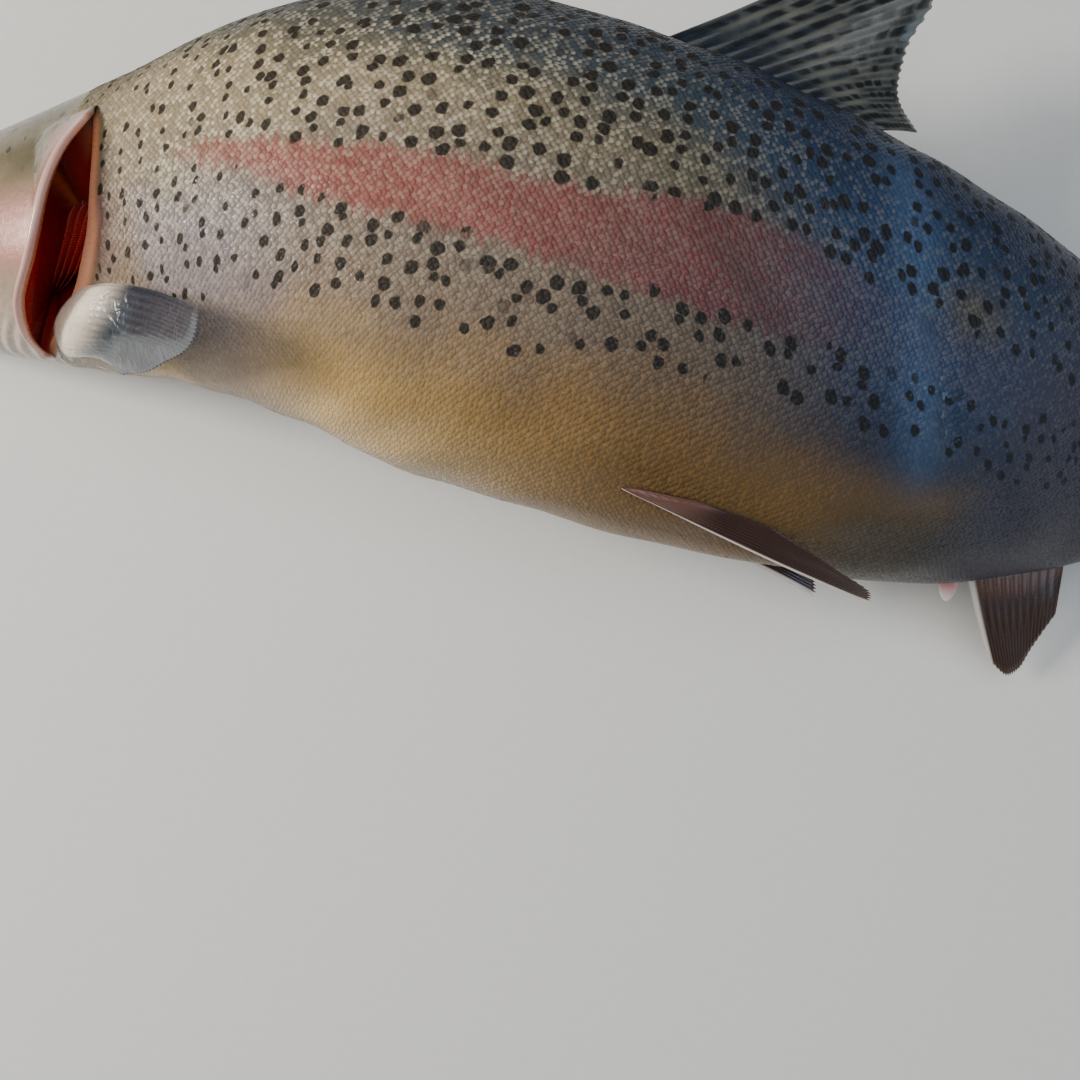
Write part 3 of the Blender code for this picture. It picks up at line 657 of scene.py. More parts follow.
# Beyond the corners of the opening the path is folded onto itself, so the plain body gives the direction.
folded_lines = (around < COVER_FROM + 3) | (around > COVER_TO - 3)
normal = np.where(folded_lines[None, :, None], body_normal(skin_x, side * skin_angle), normal)
raised = relief(skin_x, side * skin_angle)
on_flap = ease(flap / 0.15)
offset = (raised - COAT_DEPTH * (1 - 0.8 * on_flap)) * (1 - ease(inner * 8))
skin_points = on_floor(base + normal * offset[..., None], 0.0001)
skin_values = markings(skin_x, side * skin_angle)
skin_values["inner"] = inner
skin_values["flap"] = flap
skin_values["cuff"] = cuff
# Painted shade: how far the head's skin sinks into a hollow, which darkens its colour.
skin_values["hollow"] = ease((-raised - 0.00025) / 0.0009) * (skin_x < 0.080)
# Painted light: an orange glow high in the open chamber, standing for light shining through the thin cover.
skin_values["painted_glow_through_cover"] = ridge(skin_angle - 64, 7) * ease(inner * 3) * (side > 0)
skin = make_piece(
    "skin",
    skin_points.reshape(-1, 3),
    grid_faces(*skin_points.shape[:2], closed=True),
    skin_values,
    weld=0.00002,
)
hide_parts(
    "head", "lower_jaw", "upper_lip_left", "upper_lip_right", "gill_cover_left", "gill_cover_right",
    "trunk_front", "trunk_middle", "trunk_rear", "tail_stalk",
)

# %% [markdown]
# ## Scales
#
# A trout's scales are small: here 1.6 mm from one to the next in a row, and 0.9 mm from row to row. Each is
# a tongue of four rows of four points that is narrow in front, round behind and a little raised at its free
# edge. They stand in staggered rows along the lateral line, and each covers the front of the next two.
# Thousands of them are made at once: one array holds the roots, another the points of one scale, and their
# sum is the coat.

# %% Where the scales are rooted
STATION_STEP = 0.00080  # half the distance between neighbours in a row
ROW_STEP = 0.00090  # between one row and the next
COAT_FROM = 0.0800  # no scale has its root in front of this x
COARSE = 4  # degrees between the angles at which the rows are looked for
scale_dice = np.random.default_rng(5)


def scale_roots():
    """x and angle of every scale: for each station along the body, the angles at which the distance from
    the lateral line is a whole number of rows, every second row in turn."""
    stations = np.arange(COAT_FROM, LENGTH + 0.004, STATION_STEP)
    coarse = TABLE_ANGLE[::COARSE]
    found = []
    for count, x in enumerate(stations):
        ring = np.array([np.interp(min(x, LENGTH), TABLE_X, column) for column in FROM_BACK[:, ::COARSE].T])
        above = np.interp(90, coarse, ring)
        step = ROW_STEP * (1 - 0.18 * ease((x / LENGTH - 0.55) / 0.4))
        rows = np.arange(-int((ring[-1] - above) / step), int(above / step) + 1)
        rows = rows[(rows + count) % 2 == 0]
        angle = np.interp(above - rows * step, ring, coarse)
        for turned in (angle, -angle):
            found.append(np.stack([x + 0 * angle, turned], 1))
    found = np.concatenate(found)
    shaken = found + scale_dice.normal(0, 1, found.shape) * np.array([0.00010, 0.13])
    fold = np.abs(shaken[:, 1])
    bare = 0.0020 + 0.0036 * ridge(fold - 116, 20) * (shaken[:, 1] > 0)
    begins = shoulder_edge(fold) + np.where(fold < COVER_FROM, -0.006, bare)
    return shaken[shaken[:, 0] > begins]


roots = scale_roots()
print("scales", len(roots))

# %% The shape of a scale
ACROSS = np.array([-1.0, -0.36, 0.36, 1.0])
DOWN = np.array([0.0, 0.52, 0.97, 1.0])
HEIGHTS = np.array([-0.00016, 0.00004, 0.00012, -0.00010])  # metres above the skin, row by row
SCALE_LENGTH, SCALE_HALF_WIDTH = 0.0025, 0.00108
SCALES_IN_A_PIECE = 10800


def coat_points(root):
    """Points of the scales with these roots (n x 4 x 4 x 3). Down a scale they go tailward over the skin,
    less far at its sides, which makes its end round; across it they go round the body; and each is raised
    by its height, a little less at the sides."""
    x, angle = root[:, 0, None, None], root[:, 1, None, None]
    size = 1 - 0.20 * ease((x / LENGTH - 0.5) / 0.45) + scale_dice.normal(0, 0.05, x.shape)
    down, across = DOWN[None, :, None], ACROSS[None, None, :]
    far = x - 0.0011 + SCALE_LENGTH * size * down * (1 - 0.30 * across**2)
    degree = np.maximum(np.abs(from_line(x, angle + 1) - from_line(x, angle - 1)) / 2, 0.00012)
    width = SCALE_HALF_WIDTH * size * (0.80 + 0.35 * down - 0.25 * down**2)
    turn = angle + across * width / degree
    spot = settle(flesh(np.minimum(far, LENGTH + 0.003), turn))
    out = body_normal(x, angle)
    steady = size * (1 + scale_dice.normal(0, 0.12, x.shape))
    lift = HEIGHTS[None, :, None] * steady * (1 - 0.22 * across**2)
    tilt = scale_dice.normal(0, 0.00002, x.shape) * across + scale_dice.normal(0, 0.00002, x.shape) * down
    depth = relief(far, turn) - COAT_DEPTH
    return spot + out * (lift + tilt + depth)[..., None], far + 0 * turn, turn + 0 * far


def build_coat(name, root):
    """One piece of the coat, with a map on which each scale is a patch 0.003 across at its root's place on
    an unwrap of the skin: tailward by the way round the body."""
    points, far, turn = coat_points(root)
    one = grid_faces(len(DOWN), len(ACROSS))
    faces = (one[None] + len(DOWN) * len(ACROSS) * np.arange(len(root))[:, None, None]).reshape(-1, 4)
    values = markings(far, turn)
    down = np.broadcast_to(DOWN[None, :, None], far.shape)
    across = np.broadcast_to(ACROSS[None, None, :], far.shape)
    values["tip"] = down
    values["flank_of_scale"] = np.abs(across)
    values["own"] = np.broadcast_to(scale_dice.random((len(root), 1, 1)), far.shape)
    made = make_piece(name, on_floor(points).reshape(-1, 3), faces, values)
    u = root[:, 0, None, None] / LENGTH * 0.98 + 0.01 + 0.003 * (down - 0.5)
    v = (root[:, 1, None, None] + 180) / 360 * 0.98 + 0.01 + 0.0015 * across
    both = np.stack([u, v], -1).reshape(-1, 2)
    layer = made.data.uv_layers.new(name="OFBake")
    layer.data.foreach_set("uv", both[faces.ravel()].astype(np.float32).ravel())
    return made


# %% The coat in lengths
order = roots[np.argsort(roots[:, 0], kind="stable")]
lengths_of_coat = np.array_split(order, int(np.ceil(len(order) / SCALES_IN_A_PIECE)))
coat = [build_coat(f"scales_{i + 1}", part) for i, part in enumerate(lengths_of_coat)]
print("coat pieces", len(coat))

# %% [markdown]
# ## Fins
#
# A fin is a thin skin stretched over bony rays that fork towards its edge. The sheet's middle surface is a
# function of a, from the first ray to the last, and b, from the root to the margin. Its two faces are
# offset by half the thickness, which swells over each ray, and the margin is cut back a little between the
# rays.

# %% Fin sheets
def lengths(*values):
    """Metres for each ray, given for rays spaced evenly from the first to the last."""
    return smooth(np.linspace(0, 1, len(values)), values)


def midline_sheet(start, end, angle, lean, length, sag):
    """A fin on the back or the belly: its rays leave the midline at an angle that turns from the first ray
    to the last, and sag with the square of the way out."""
    up = 1 if angle < 90 else -1

    def point(a, b):
        root = flesh((start + (end - start) * a) * LENGTH, angle)
        root[..., 1] -= up * 0.0004
        turned = np.radians(lean[0] + (lean[1] - lean[0]) * a)
        way = np.stack([np.cos(turned), up * np.sin(turned), 0 * turned], -1)
        drop = sag(a) * np.maximum(b, 0) ** 2
        return bend(root + way * (length(a) * b)[..., None]) + drop[..., None] * np.array([0.0, 0.0, 1.0])

    return point


def flank_sheet(start, run, angles, fan, rise, length, fin_side, clear, cup=0.0):
    """A paired fin: its root runs back and round the flank, and its rays fan out over the skin while they
    rise from it, in degrees for the first ray and the last. Its middle bulges by the height of the cup, and
    a cupped fin has a few soft folds along its rays."""

    def point(a, b):
        reach = length(a) * b
        turn = np.radians(fan[0] + (fan[1] - fan[0]) * a)
        lift = np.radians(rise[0] + (rise[1] - rise[0]) * a)
        x = start + run * a + reach * np.cos(turn) * np.cos(lift)
        half_depth = belly_depth(x / LENGTH) * LENGTH
        angle = angles[0] + (angles[1] - angles[0]) * a - np.degrees(reach * np.sin(turn) / half_depth)
        on = flesh(x, fin_side * angle)
        out = unit(on * np.array([0.0, 1.0, 1.0]))
        bulge = cup * np.sin(np.pi * np.clip(a, 0, 1)) * np.sin(np.pi * np.clip(b, 0, 1) ** 0.8)
        folds = 0.11 * cup * np.sin(15 * a + 3 * b) * np.clip(b, 0, 1)
        height = clear + reach * np.sin(lift) * np.clip(b, 0, 1) ** 0.6 + bulge + folds
        return bend(on + out * height[..., None])

    return point


def rim_of(rows, columns):
    """The numbers of a grid's outer points, once round."""
    numbers = np.arange(rows * columns).reshape(rows, columns)
    return np.concatenate([numbers[:, 0], numbers[-1, 1:], numbers[-2::-1, -1], numbers[0, -2:0:-1]])


DASH_CELLS = 10  # rows of dashes from a fin's root to its margin


def dashes_on(a, b, rays, filled, seed):
    """How dark the dashes are: one in each cell between two rays, at a shaken place, in that share of the
    cells."""
    dice = np.random.default_rng(seed).random((rays + 2, DASH_CELLS + 4, 3))
    lane = np.clip(np.floor(a * rays).astype(int), 0, rays)
    cell = np.clip(np.floor(b * DASH_CELLS).astype(int) + 1, 0, DASH_CELLS + 3)
    pick = dice[lane, cell]
    beside = np.abs((a * rays) % 1 - 0.5 - 0.16 * (pick[..., 0] - 0.5))
    beyond = np.abs((b * DASH_CELLS) % 1 - 0.5 - 0.2 * (pick[..., 1] - 0.5))
    dash = ease((0.30 - beside) / 0.12) * ease((0.42 - beyond) / 0.14) * (pick[..., 2] < filled)
    return dash * ease(b / 0.08) * ease((1.02 - b) / 0.1)


def build_fin(
    name, point, rays, thick,
    dashes=0.0, root_in=0.10, lobe=0.0, fine=10, steps=46, notch=0.035, ribs=0.00018, node=None,
):
    """A closed sheet with rays. thick is the membrane's thickness, ribs what a ray adds, and lobe what is
    added at a fleshy root, which starts round, a little in front of the first ends of the rays, and bows
    forward in the middle. dashes is the share of cells with a dash, and notch how far the margin is cut
    back between two rays."""
    a = np.linspace(0, 1, rays * fine + 1)
    b = np.linspace(-root_in, 1, steps)
    a, b = np.meshgrid(a, b, indexing="ij")
    out = np.clip(b, 0, 1)
    wave = 0.5 + 0.5 * np.cos(2 * np.pi * rays * a)
    forked = 0.5 + 0.5 * np.cos(4 * np.pi * rays * a + np.pi)
    fork = ease((b - 0.42) / 0.25)
    ray = wave**2 * (1 - fork) + forked**2 * fork
    cut = 1 - notch * (1 - ray) * ease((b - 0.6) / 0.4)
    bow = 0.25 + 0.75 * np.sin(np.pi * a) ** 0.6
    middle = point(a, np.where(b < 0, b * bow, b * cut))
    body = thick * (1.25 - 0.55 * out) + ribs * ray * (1 - 0.5 * out)
    begins = np.sqrt(np.clip((b + root_in) / (1.2 * root_in), 0.0, 1))
    fleshy = lobe * begins * (1 - ease((b + 0.02) / 0.46)) * np.sin(np.pi * (0.03 + 0.94 * a)) ** 0.6
    body = body * np.maximum(begins, 0.2) + fleshy
    edge = np.minimum(1, 0.35 + 6 * np.minimum(np.minimum(a, 1 - a) * 3, (1 - b) * 1.4))
    half = normals_of(middle) * (body * edge / 2)[..., None]
    points = on_floor(np.concatenate([(middle + half).reshape(-1, 3), (middle - half).reshape(-1, 3)]))
    quads, rim = grid_faces(*a.shape), rim_of(*a.shape)
    after = np.roll(rim, -1)
    wall = np.stack([rim, after, after + a.size, rim + a.size], 1)
    faces = np.concatenate([quads[:, ::-1], quads + a.size, wall])
    dash = dashes_on(a, b, rays, dashes, seed=len(name) + rays)
    values = {"way_out": out, "across": a, "ray": ray, "dash": dash}
    twice = {key: np.tile(numbers.ravel(), 2) for key, numbers in values.items()}
    made = make_piece(name, points, faces, twice, weld=0.000002)
    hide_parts(node or name)
    return made


TAIL_ROOT_HALF = 0.0225  # half the height of the tail fin's root
TAIL_LEAN = 30  # degrees that its outermost rays lean from the stalk's own line
TAIL_MIDDLE, TAIL_FORK = 0.040, 0.021  # the middle ray, and how much longer the outer ones are


def caudal_sheet(a, b):
    """The tail fin spreads from the end of the stalk, with a shallow fork and rounded tips."""
    spread = 1 - 2 * a
    root = np.stack([np.full_like(a, LENGTH + 0.0003), spread * TAIL_ROOT_HALF, 0 * a], -1)
    lean = np.radians(TAIL_LEAN * spread)
    reach = (TAIL_MIDDLE + TAIL_FORK * np.abs(spread) ** 1.6) * (1 - 0.10 * np.abs(spread) ** 12)
    out = np.stack([np.cos(lean), np.sin(lean), 0 * a], -1)
    return settle(root + out * (reach * b)[..., None])


# %% Fins of the midline
dorsal_rays, dorsal_sag = lengths(0.052, 0.058, 0.037, 0.021, 0.012), lengths(-0.006, -0.008, -0.004)
anal_rays, anal_sag = lengths(0.028, 0.033, 0.031, 0.024, 0.016), lengths(-0.002, -0.003, -0.001)
adipose_rays, no_sag = lengths(0.011, 0.018, 0.016), lengths(0, 0)
dorsal_fin = build_fin(
    "fin_of_the_back", midline_sheet(0.475, 0.60, 0, (42, 19), dorsal_rays, dorsal_sag),
    13, 0.0006, dashes=0.85, notch=0.022, node="dorsal_fin",
)
anal_fin = build_fin(
    "fin_behind_the_vent", midline_sheet(0.746, 0.805, 180, (55, 80), anal_rays, anal_sag),
    11, 0.0006, notch=0.025, ribs=0.00011, node="anal_fin",
)
adipose_fin = build_fin(
    "small_fatty_fin", midline_sheet(0.845, 0.868, 0, (38, 20), adipose_rays, no_sag),
    3, 0.0017, dashes=0.6, notch=0.0, fine=8, steps=24, lobe=0.0008, node="adipose_fin",
)
tail_fin = build_fin(
    "tail_fin", caudal_sheet,
    19, 0.0006, dashes=0.62, root_in=0.16, lobe=0.0016, fine=8, notch=0.05, node="caudal_fin",
)

# %% Paired fins
pectoral_rays = lengths(0.050, 0.052, 0.045, 0.036, 0.026)
pelvic_rays = lengths(0.064, 0.058, 0.043, 0.030, 0.018)
pectoral_left = build_fin(
    "fin_of_the_left_shoulder",
    flank_sheet(0.104, -0.0165, (116, 153), (5, 19), (27, 25), pectoral_rays, 1, -0.0004, 0.0034),
    15, 0.0007, root_in=0.23, lobe=0.0105, steps=64, notch=0.02, ribs=0.00007, node="pectoral_fin_left",
)
pectoral_right = build_fin(
    "fin_of_the_right_shoulder",
    flank_sheet(0.106, -0.014, (118, 148), (0, 6), (5, 4), pectoral_rays, -1, 0.0012),
    13, 0.0007, root_in=0.18, lobe=0.0060, steps=60, notch=0.03, ribs=0.00010, node="pectoral_fin_right",
)
pelvic_left = build_fin(
    "left_belly_fin",
    flank_sheet(0.2486, 0.015, (143, 138), (-9, 1), (6, 4), pelvic_rays, 1, 0.0012),
    10, 0.0006, lobe=0.0016, notch=0.02, ribs=0.00010, node="pelvic_fin_left",
)
pelvic_right = build_fin(
    "right_belly_fin",
    flank_sheet(0.2486, 0.015, (150, 145), (-6, 2), (12, 5), pelvic_rays, -1, 0.0012),
    10, 0.0006, lobe=0.0016, notch=0.02, ribs=0.00010, node="pelvic_fin_right",
)

# %% [markdown]
# ## Gills
#
# In the open chamber four arches stand side by side, each with a red fringe of fine filaments. The surface
# rises over each arch and is combed into filaments across it.

# %% Gill arches
ARCHES, FILAMENTS = 4, 74
GILL_ROWS, GILL_COLUMNS = 361, 97
GILL_FROM, GILL_SPAN = 56, 100  # degrees from the middle of the back


def build_gills():
    """A sheet over the chamber's floor: humps side by side, high in the middle of their length, with a comb
    of filaments about half a millimetre high."""
    a = np.linspace(0, 1, GILL_ROWS)[:, None]
    b = np.linspace(0, 1, GILL_COLUMNS)[None, :]
    angle = GILL_FROM + GILL_SPAN * a + 0 * b
    start = hinge_line(angle) + 0.0022
    x = start + (shoulder_edge(angle) - start - 0.0048) * b
    hump = np.abs(np.sin(np.pi * ARCHES * b)) ** 0.75
    comb = 0.5 + 0.5 * np.sin(a * 2 * np.pi * FILAMENTS + 2.2 * np.sin(np.pi * ARCHES * b))
    swell = np.sin(np.pi * a) ** 0.8
    size = CHAMBER_FLOOR - 0.03 + (0.10 + 0.27 * hump) * swell + 0.016 * comb * hump * swell
    points = bend(flesh(x, angle, size))
    values = {"hump": hump * swell, "comb": comb}
    made = make_piece("gill_fringes", points.reshape(-1, 3), grid_faces(GILL_ROWS, GILL_COLUMNS), values)
    if made.data.polygons[GILL_ROWS // 4 * GILL_COLUMNS].normal.z < 0:
        made.data.flip_normals()
    return made


gills = build_gills()
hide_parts("gills_left")

# %% [markdown]
# ## Eyes
#
# A trout's eye is a slightly flattened ball with a clear bulging front. The pupil is black and drawn to a
# point in front, and the ring round it is brassy with a dark upper part.

# %% Eyeballs
EYE_RADIUS, EYE_FLATNESS = 0.0095, 0.7
EYE_ROWS, EYE_COLUMNS = 49, 96
CORNEA_BULGE, CORNEA_WIDTH = 0.05, 0.55  # share of the radius, and radians from the pole
PUPIL_SIDE = 1.6  # radians from the outward pole; there is no pupil beyond it


def build_eye(name, node, eye_side):
    """A ball given by the angle from its outward pole and the angle round it. The pole's cap is bulged by a
    few tenths of a millimetre over the pupil, as a cornea is."""
    polar = np.linspace(0, np.pi, EYE_ROWS)[:, None]
    turn = np.linspace(0, 2 * np.pi, EYE_COLUMNS, endpoint=False)[None]
    radius = EYE_RADIUS * (1 + CORNEA_BULGE * ridge(polar, CORNEA_WIDTH))
    x = EYE_AT[0] + radius * np.sin(polar) * np.cos(turn)
    y = EYE_AT[1] + radius * np.sin(polar) * np.sin(turn)
    z = eye_side * (EYE_AT[2] + radius * np.cos(polar) * EYE_FLATNESS + 0 * turn)
    points = on_floor(bend(np.stack([x, y, z], -1)))
    dx, dy = (x - EYE_AT[0]) / EYE_RADIUS, (y - EYE_AT[1]) / EYE_RADIUS
    from_pupil = np.hypot(dx * np.where(dx < 0, 0.84, 1.0), dy)
    values = {"from_pupil": from_pupil + (polar > PUPIL_SIDE) * 2.0, "rise": 0.5 + 0.5 * dy}
    faces = grid_faces(EYE_ROWS, EYE_COLUMNS, closed=True)
    made = make_piece(name, points.reshape(-1, 3), faces, values, weld=0.000002)
    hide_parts(node)
    return made


eyes = [build_eye("left_eyeball", "eye_left", 1), build_eye("right_eyeball", "eye_right", -1)]

# %% [markdown]
# ## Vent
#
# The vent is a small soft cone of flesh on the belly, just in front of the anal fin.

# %% Vent
VENT_STATION, VENT_RADIUS = 0.733, 0.0025
VENT_SUNK, VENT_TALL, VENT_LEAN = 0.0020, 0.0080, 0.0022  # in the belly, in all, and towards the tail
VENT_ROWS, VENT_COLUMNS = 22, 36


def build_vent():
    """A slightly oval cone whose radius falls from 2.5 mm to a round tip, with five shallow folds."""
    t = np.linspace(0, 1, VENT_ROWS)[:, None]
    turn = np.linspace(0, 2 * np.pi, VENT_COLUMNS, endpoint=False)[None]
    radius = VENT_RADIUS * np.sqrt(np.maximum(1 - t**1.6, 0)) * (1 + 0.06 * np.sin(5 * turn))
    root = flesh(VENT_STATION * LENGTH, 180)
    x = root[0] + VENT_LEAN * t + radius * np.cos(turn) * 1.25
    y = root[1] + VENT_SUNK - VENT_TALL * t + 0 * turn
    z = radius * np.sin(turn)
    points = bend(np.stack([x, y, z], -1)).reshape(-1, 3)
    values = {"way_out": t + 0 * turn}
    faces = grid_faces(VENT_ROWS, VENT_COLUMNS, closed=True)
    return make_piece("vent", points, faces, values, weld=0.000002)


vent = build_vent()

# %% [markdown]
# ## Colour and finish
#
# Colours are written as the hex values that a paint chart gives, and turned to the linear numbers that a
# shader mixes. One function adds a node, sets it and links it. Colours are laid over one another in layers,
# each with its share, and most shares are products of smooth steps.

# %% Material helpers
def hue(code):
    """An sRGB hex colour as linear numbers: each channel to the power 2.4 above a short straight toe."""
    channels = [int(code[i : i + 2], 16) / 255 for i in (1, 3, 5)]
    return (*(c / 12.92 if c <= 0.04045 else ((c + 0.055) / 1.055) ** 2.4 for c in channels), 1.0)


def feed(tree, node, inputs):
    """Fills a node's sockets: another node's output is linked, a hex colour is turned to linear numbers,
    and a number is set."""
    for key, value in inputs.items():
        if isinstance(value, bpy.types.NodeSocket):
            tree.links.new(value, node.inputs[key])
        else:
            node.inputs[key].default_value = hue(value) if isinstance(value, str) else value


def add(tree, kind, inputs=None, stops=(), out=0, **settings):
    """Adds a node and returns its output of that name or number, or the node where out is None. stops fills
    a colour ramp."""
    node = tree.nodes.new(kind)
    for key, value in settings.items():
        setattr(node, key, value)
    feed(tree, node, inputs or {})
    if stops:
        ramp = node.color_ramp
        ramp.elements.remove(ramp.elements[1])
        ramp.elements[0].position, ramp.elements[0].color = stops[0][0], hue(stops[0][1])
        for position, code in stops[1:]:
            ramp.elements.new(position).color = hue(code)
    return node if out is None else node.outputs[out]


def new_material(name, *keys):
    """A material, its node tree, its shader, and an output for each named value of the points."""
    made = bpy.data.materials.new(name)
    made.use_nodes = True
    tree = made.node_tree
    given = {key: add(tree, "ShaderNodeAttribute", out="Fac", attribute_name=key) for key in keys}
    return made, tree, tree.nodes["Principled BSDF"], given


def share(tree, *factors):
    """The product of its factors: numbers, outputs, and smooth steps. A smooth step is a value, the two
    ends of its range, and what it becomes at each end, which is 0 and 1 unless given."""
    product = None
    for factor in factors:
        if isinstance(factor, tuple):
            step = dict(enumerate(factor))
            factor = add(tree, "ShaderNodeMapRange", step, interpolation_type="SMOOTHSTEP")
        if product is not None:
            factor = add(tree, "ShaderNodeMath", {0: product, 1: factor}, operation="MULTIPLY")
        product = factor
    return product


# %% [markdown]
# Wet trout skin: a clear film of slime and water over scales that hold silvery crystals, so it has a soft
# sheen below and sharp small glints on top. The colours change from the back to the belly and, towards the
# tail, to slate blue. Each list below runs from the middle of the belly, at 0, to the middle of the back,
# at 1; the lists of the stripe and the spots run from the snout to the tail.

# %% Colours of the body
# The lighter band high on the front flank and the near-white edge of the belly are partly painted light: low
# light on the upper flank, and light reflected up onto the belly's edge. REAR is darker than FRONT partly by
# painted shade, as the light falls off towards the tail.
FRONT = (
    (0.0, "#f8e8d4"), (0.09, "#ecca94"), (0.20, "#bc985c"), (0.34, "#86705a"), (0.52, "#7f6e5d"),
    (0.68, "#9e8b6c"), (0.77, "#726750"), (0.85, "#464742"), (1.0, "#28323a"),
)
REAR = (
    (0.0, "#c0a488"), (0.09, "#7a5c38"), (0.24, "#74552c"), (0.38, "#5c4b3c"), (0.52, "#52483e"),
    (0.68, "#484437"), (0.82, "#233644"), (1.0, "#15273c"),
)
# The slate blue of the tail is partly the trout's own blue sheen and partly painted shade tinted by the sky,
# which is also why this list is so dark.
TAIL = (
    (0.0, "#3a3634"), (0.16, "#1c1d23"), (0.36, "#1b243b"), (0.55, "#203352"), (0.75, "#1a3352"),
    (1.0, "#102440"),
)
HEAD = (
    (0.0, "#cfc2b2"), (0.20, "#bfae9c"), (0.34, "#ac9684"), (0.48, "#9c8474"), (0.60, "#85755c"),
    (0.70, "#605840"), (0.80, "#444330"), (1.0, "#2e3227"),
)
STRIPE = ((0.2, "#a66f5e"), (0.34, "#9c5648"), (0.46, "#7a423b"), (0.56, "#502b31"), (0.8, "#2c2340"))
SPOT = ((0.2, "#2c2112"), (0.45, "#1e170c"), (0.7, "#0e1218"))
BODY_VALUES = (
    "along", "round_back", "height", "stripe", "above_stripe", "stripe_half", "above_lowest",
    "spot_density", "dash_density", "painted_sky_reflection", "blotch", "green_patch",
)


def body_colours(tree, given, place):
    """The colours that skin and scales share. A cloudy noise shakes the height, so that no two colours meet
    at a straight line."""
    along, height = given["along"], given["height"]
    # A noise's scale is one over the size of its features in metres, so these clouds are 18 mm across.
    cloud = {"Vector": place, "Scale": 55.0, "Detail": 3.0, "Roughness": 0.6}
    cloud = add(tree, "ShaderNodeTexNoise", cloud)
    shaken = height
    for shift in (
        share(tree, (cloud, 0.3, 0.7, -0.035, 0.035), (height, 0.10, 0.34, 0.12, 1.0)),
        share(tree, (along, 0.25, 0.41, -0.09, 0.10), (height, 0.66, 0.80)),
    ):
        shaken = add(tree, "ShaderNodeMath", {0: shaken, 1: shift}, operation="ADD")
    front, rear, tail, head = (
        add(tree, "ShaderNodeValToRGB", {"Fac": shaken}, stops) for stops in (FRONT, REAR, TAIL, HEAD)
    )
    # Painted shade with the sky's blue in it, together with the trout's own blue sheen, over the rear of the
    # back and all round the tail.
    slanted = add(tree, "ShaderNodeMath", {0: height, 1: 0.14, 2: along}, operation="MULTIPLY_ADD")
    blue_above = share(tree, (slanted, 0.600, 0.705), (height, 0.26, 0.38))
    blue_all_round = share(tree, (along, 0.660, 0.715))
    blue = add(tree, "ShaderNodeMath", {0: blue_above, 1: blue_all_round}, operation="MAXIMUM")
    pink = add(tree, "ShaderNodeValToRGB", {"Fac": along}, STRIPE)
    trunk = front
    for cover, over in (
        (share(tree, (along, 0.30, 0.56)), rear),
        # Painted shade on the lower flank towards the tail.
        (share(tree, (along, 0.60, 0.66), (height, 0.34, 0.20, 0.0, 0.82)), "#2f2b23"),
        (blue, tail),
        # Painted reflection: a paler blue band where the wet flank mirrors the sky.
        (share(tree, given["painted_sky_reflection"], 0.36), "#507298"),
        # Painted shade, deepening towards the end of the tail stalk.
        (share(tree, (along, 0.675, 0.735, 0.0, 0.55)), "#232039"),
        (share(tree, given["green_patch"], 0.45), "#8a8c50"),
        (share(tree, given["blotch"], 0.75), "#4d4432"),
        (share(tree, given["stripe"], (cloud, 0.25, 0.6, 0.72, 1.0)), pink),
        (share(tree, (along, 0.245, 0.265), (along, 0.37, 0.29), (height, 0.60, 0.45, 0.0, 0.5)), "#918894"),
    ):
        trunk = add(tree, "ShaderNodeMix", {0: cover, 6: trunk, 7: over}, out=2, data_type="RGBA")
    cheek = share(tree, (height, 0.34, 0.45), (height, 0.64, 0.50), (along, 0.06, 0.14, 0.0, 0.75))
    head = add(tree, "ShaderNodeMix", {0: cheek, 6: head, 7: "#b0665a"}, out=2, data_type="RGBA")
    behind = share(tree, (along, 0.185, 0.262))
    return add(tree, "ShaderNodeMix", {0: behind, 6: head, 7: trunk}, out=2, data_type="RGBA")


# %% Spots
SPOT_HALF_LENGTH, SPOT_HALF_HEIGHT = 0.00130, 0.00142
EDGE_SHAKE = 0.30  # of a cell, how far the wobble shifts a spot's edge


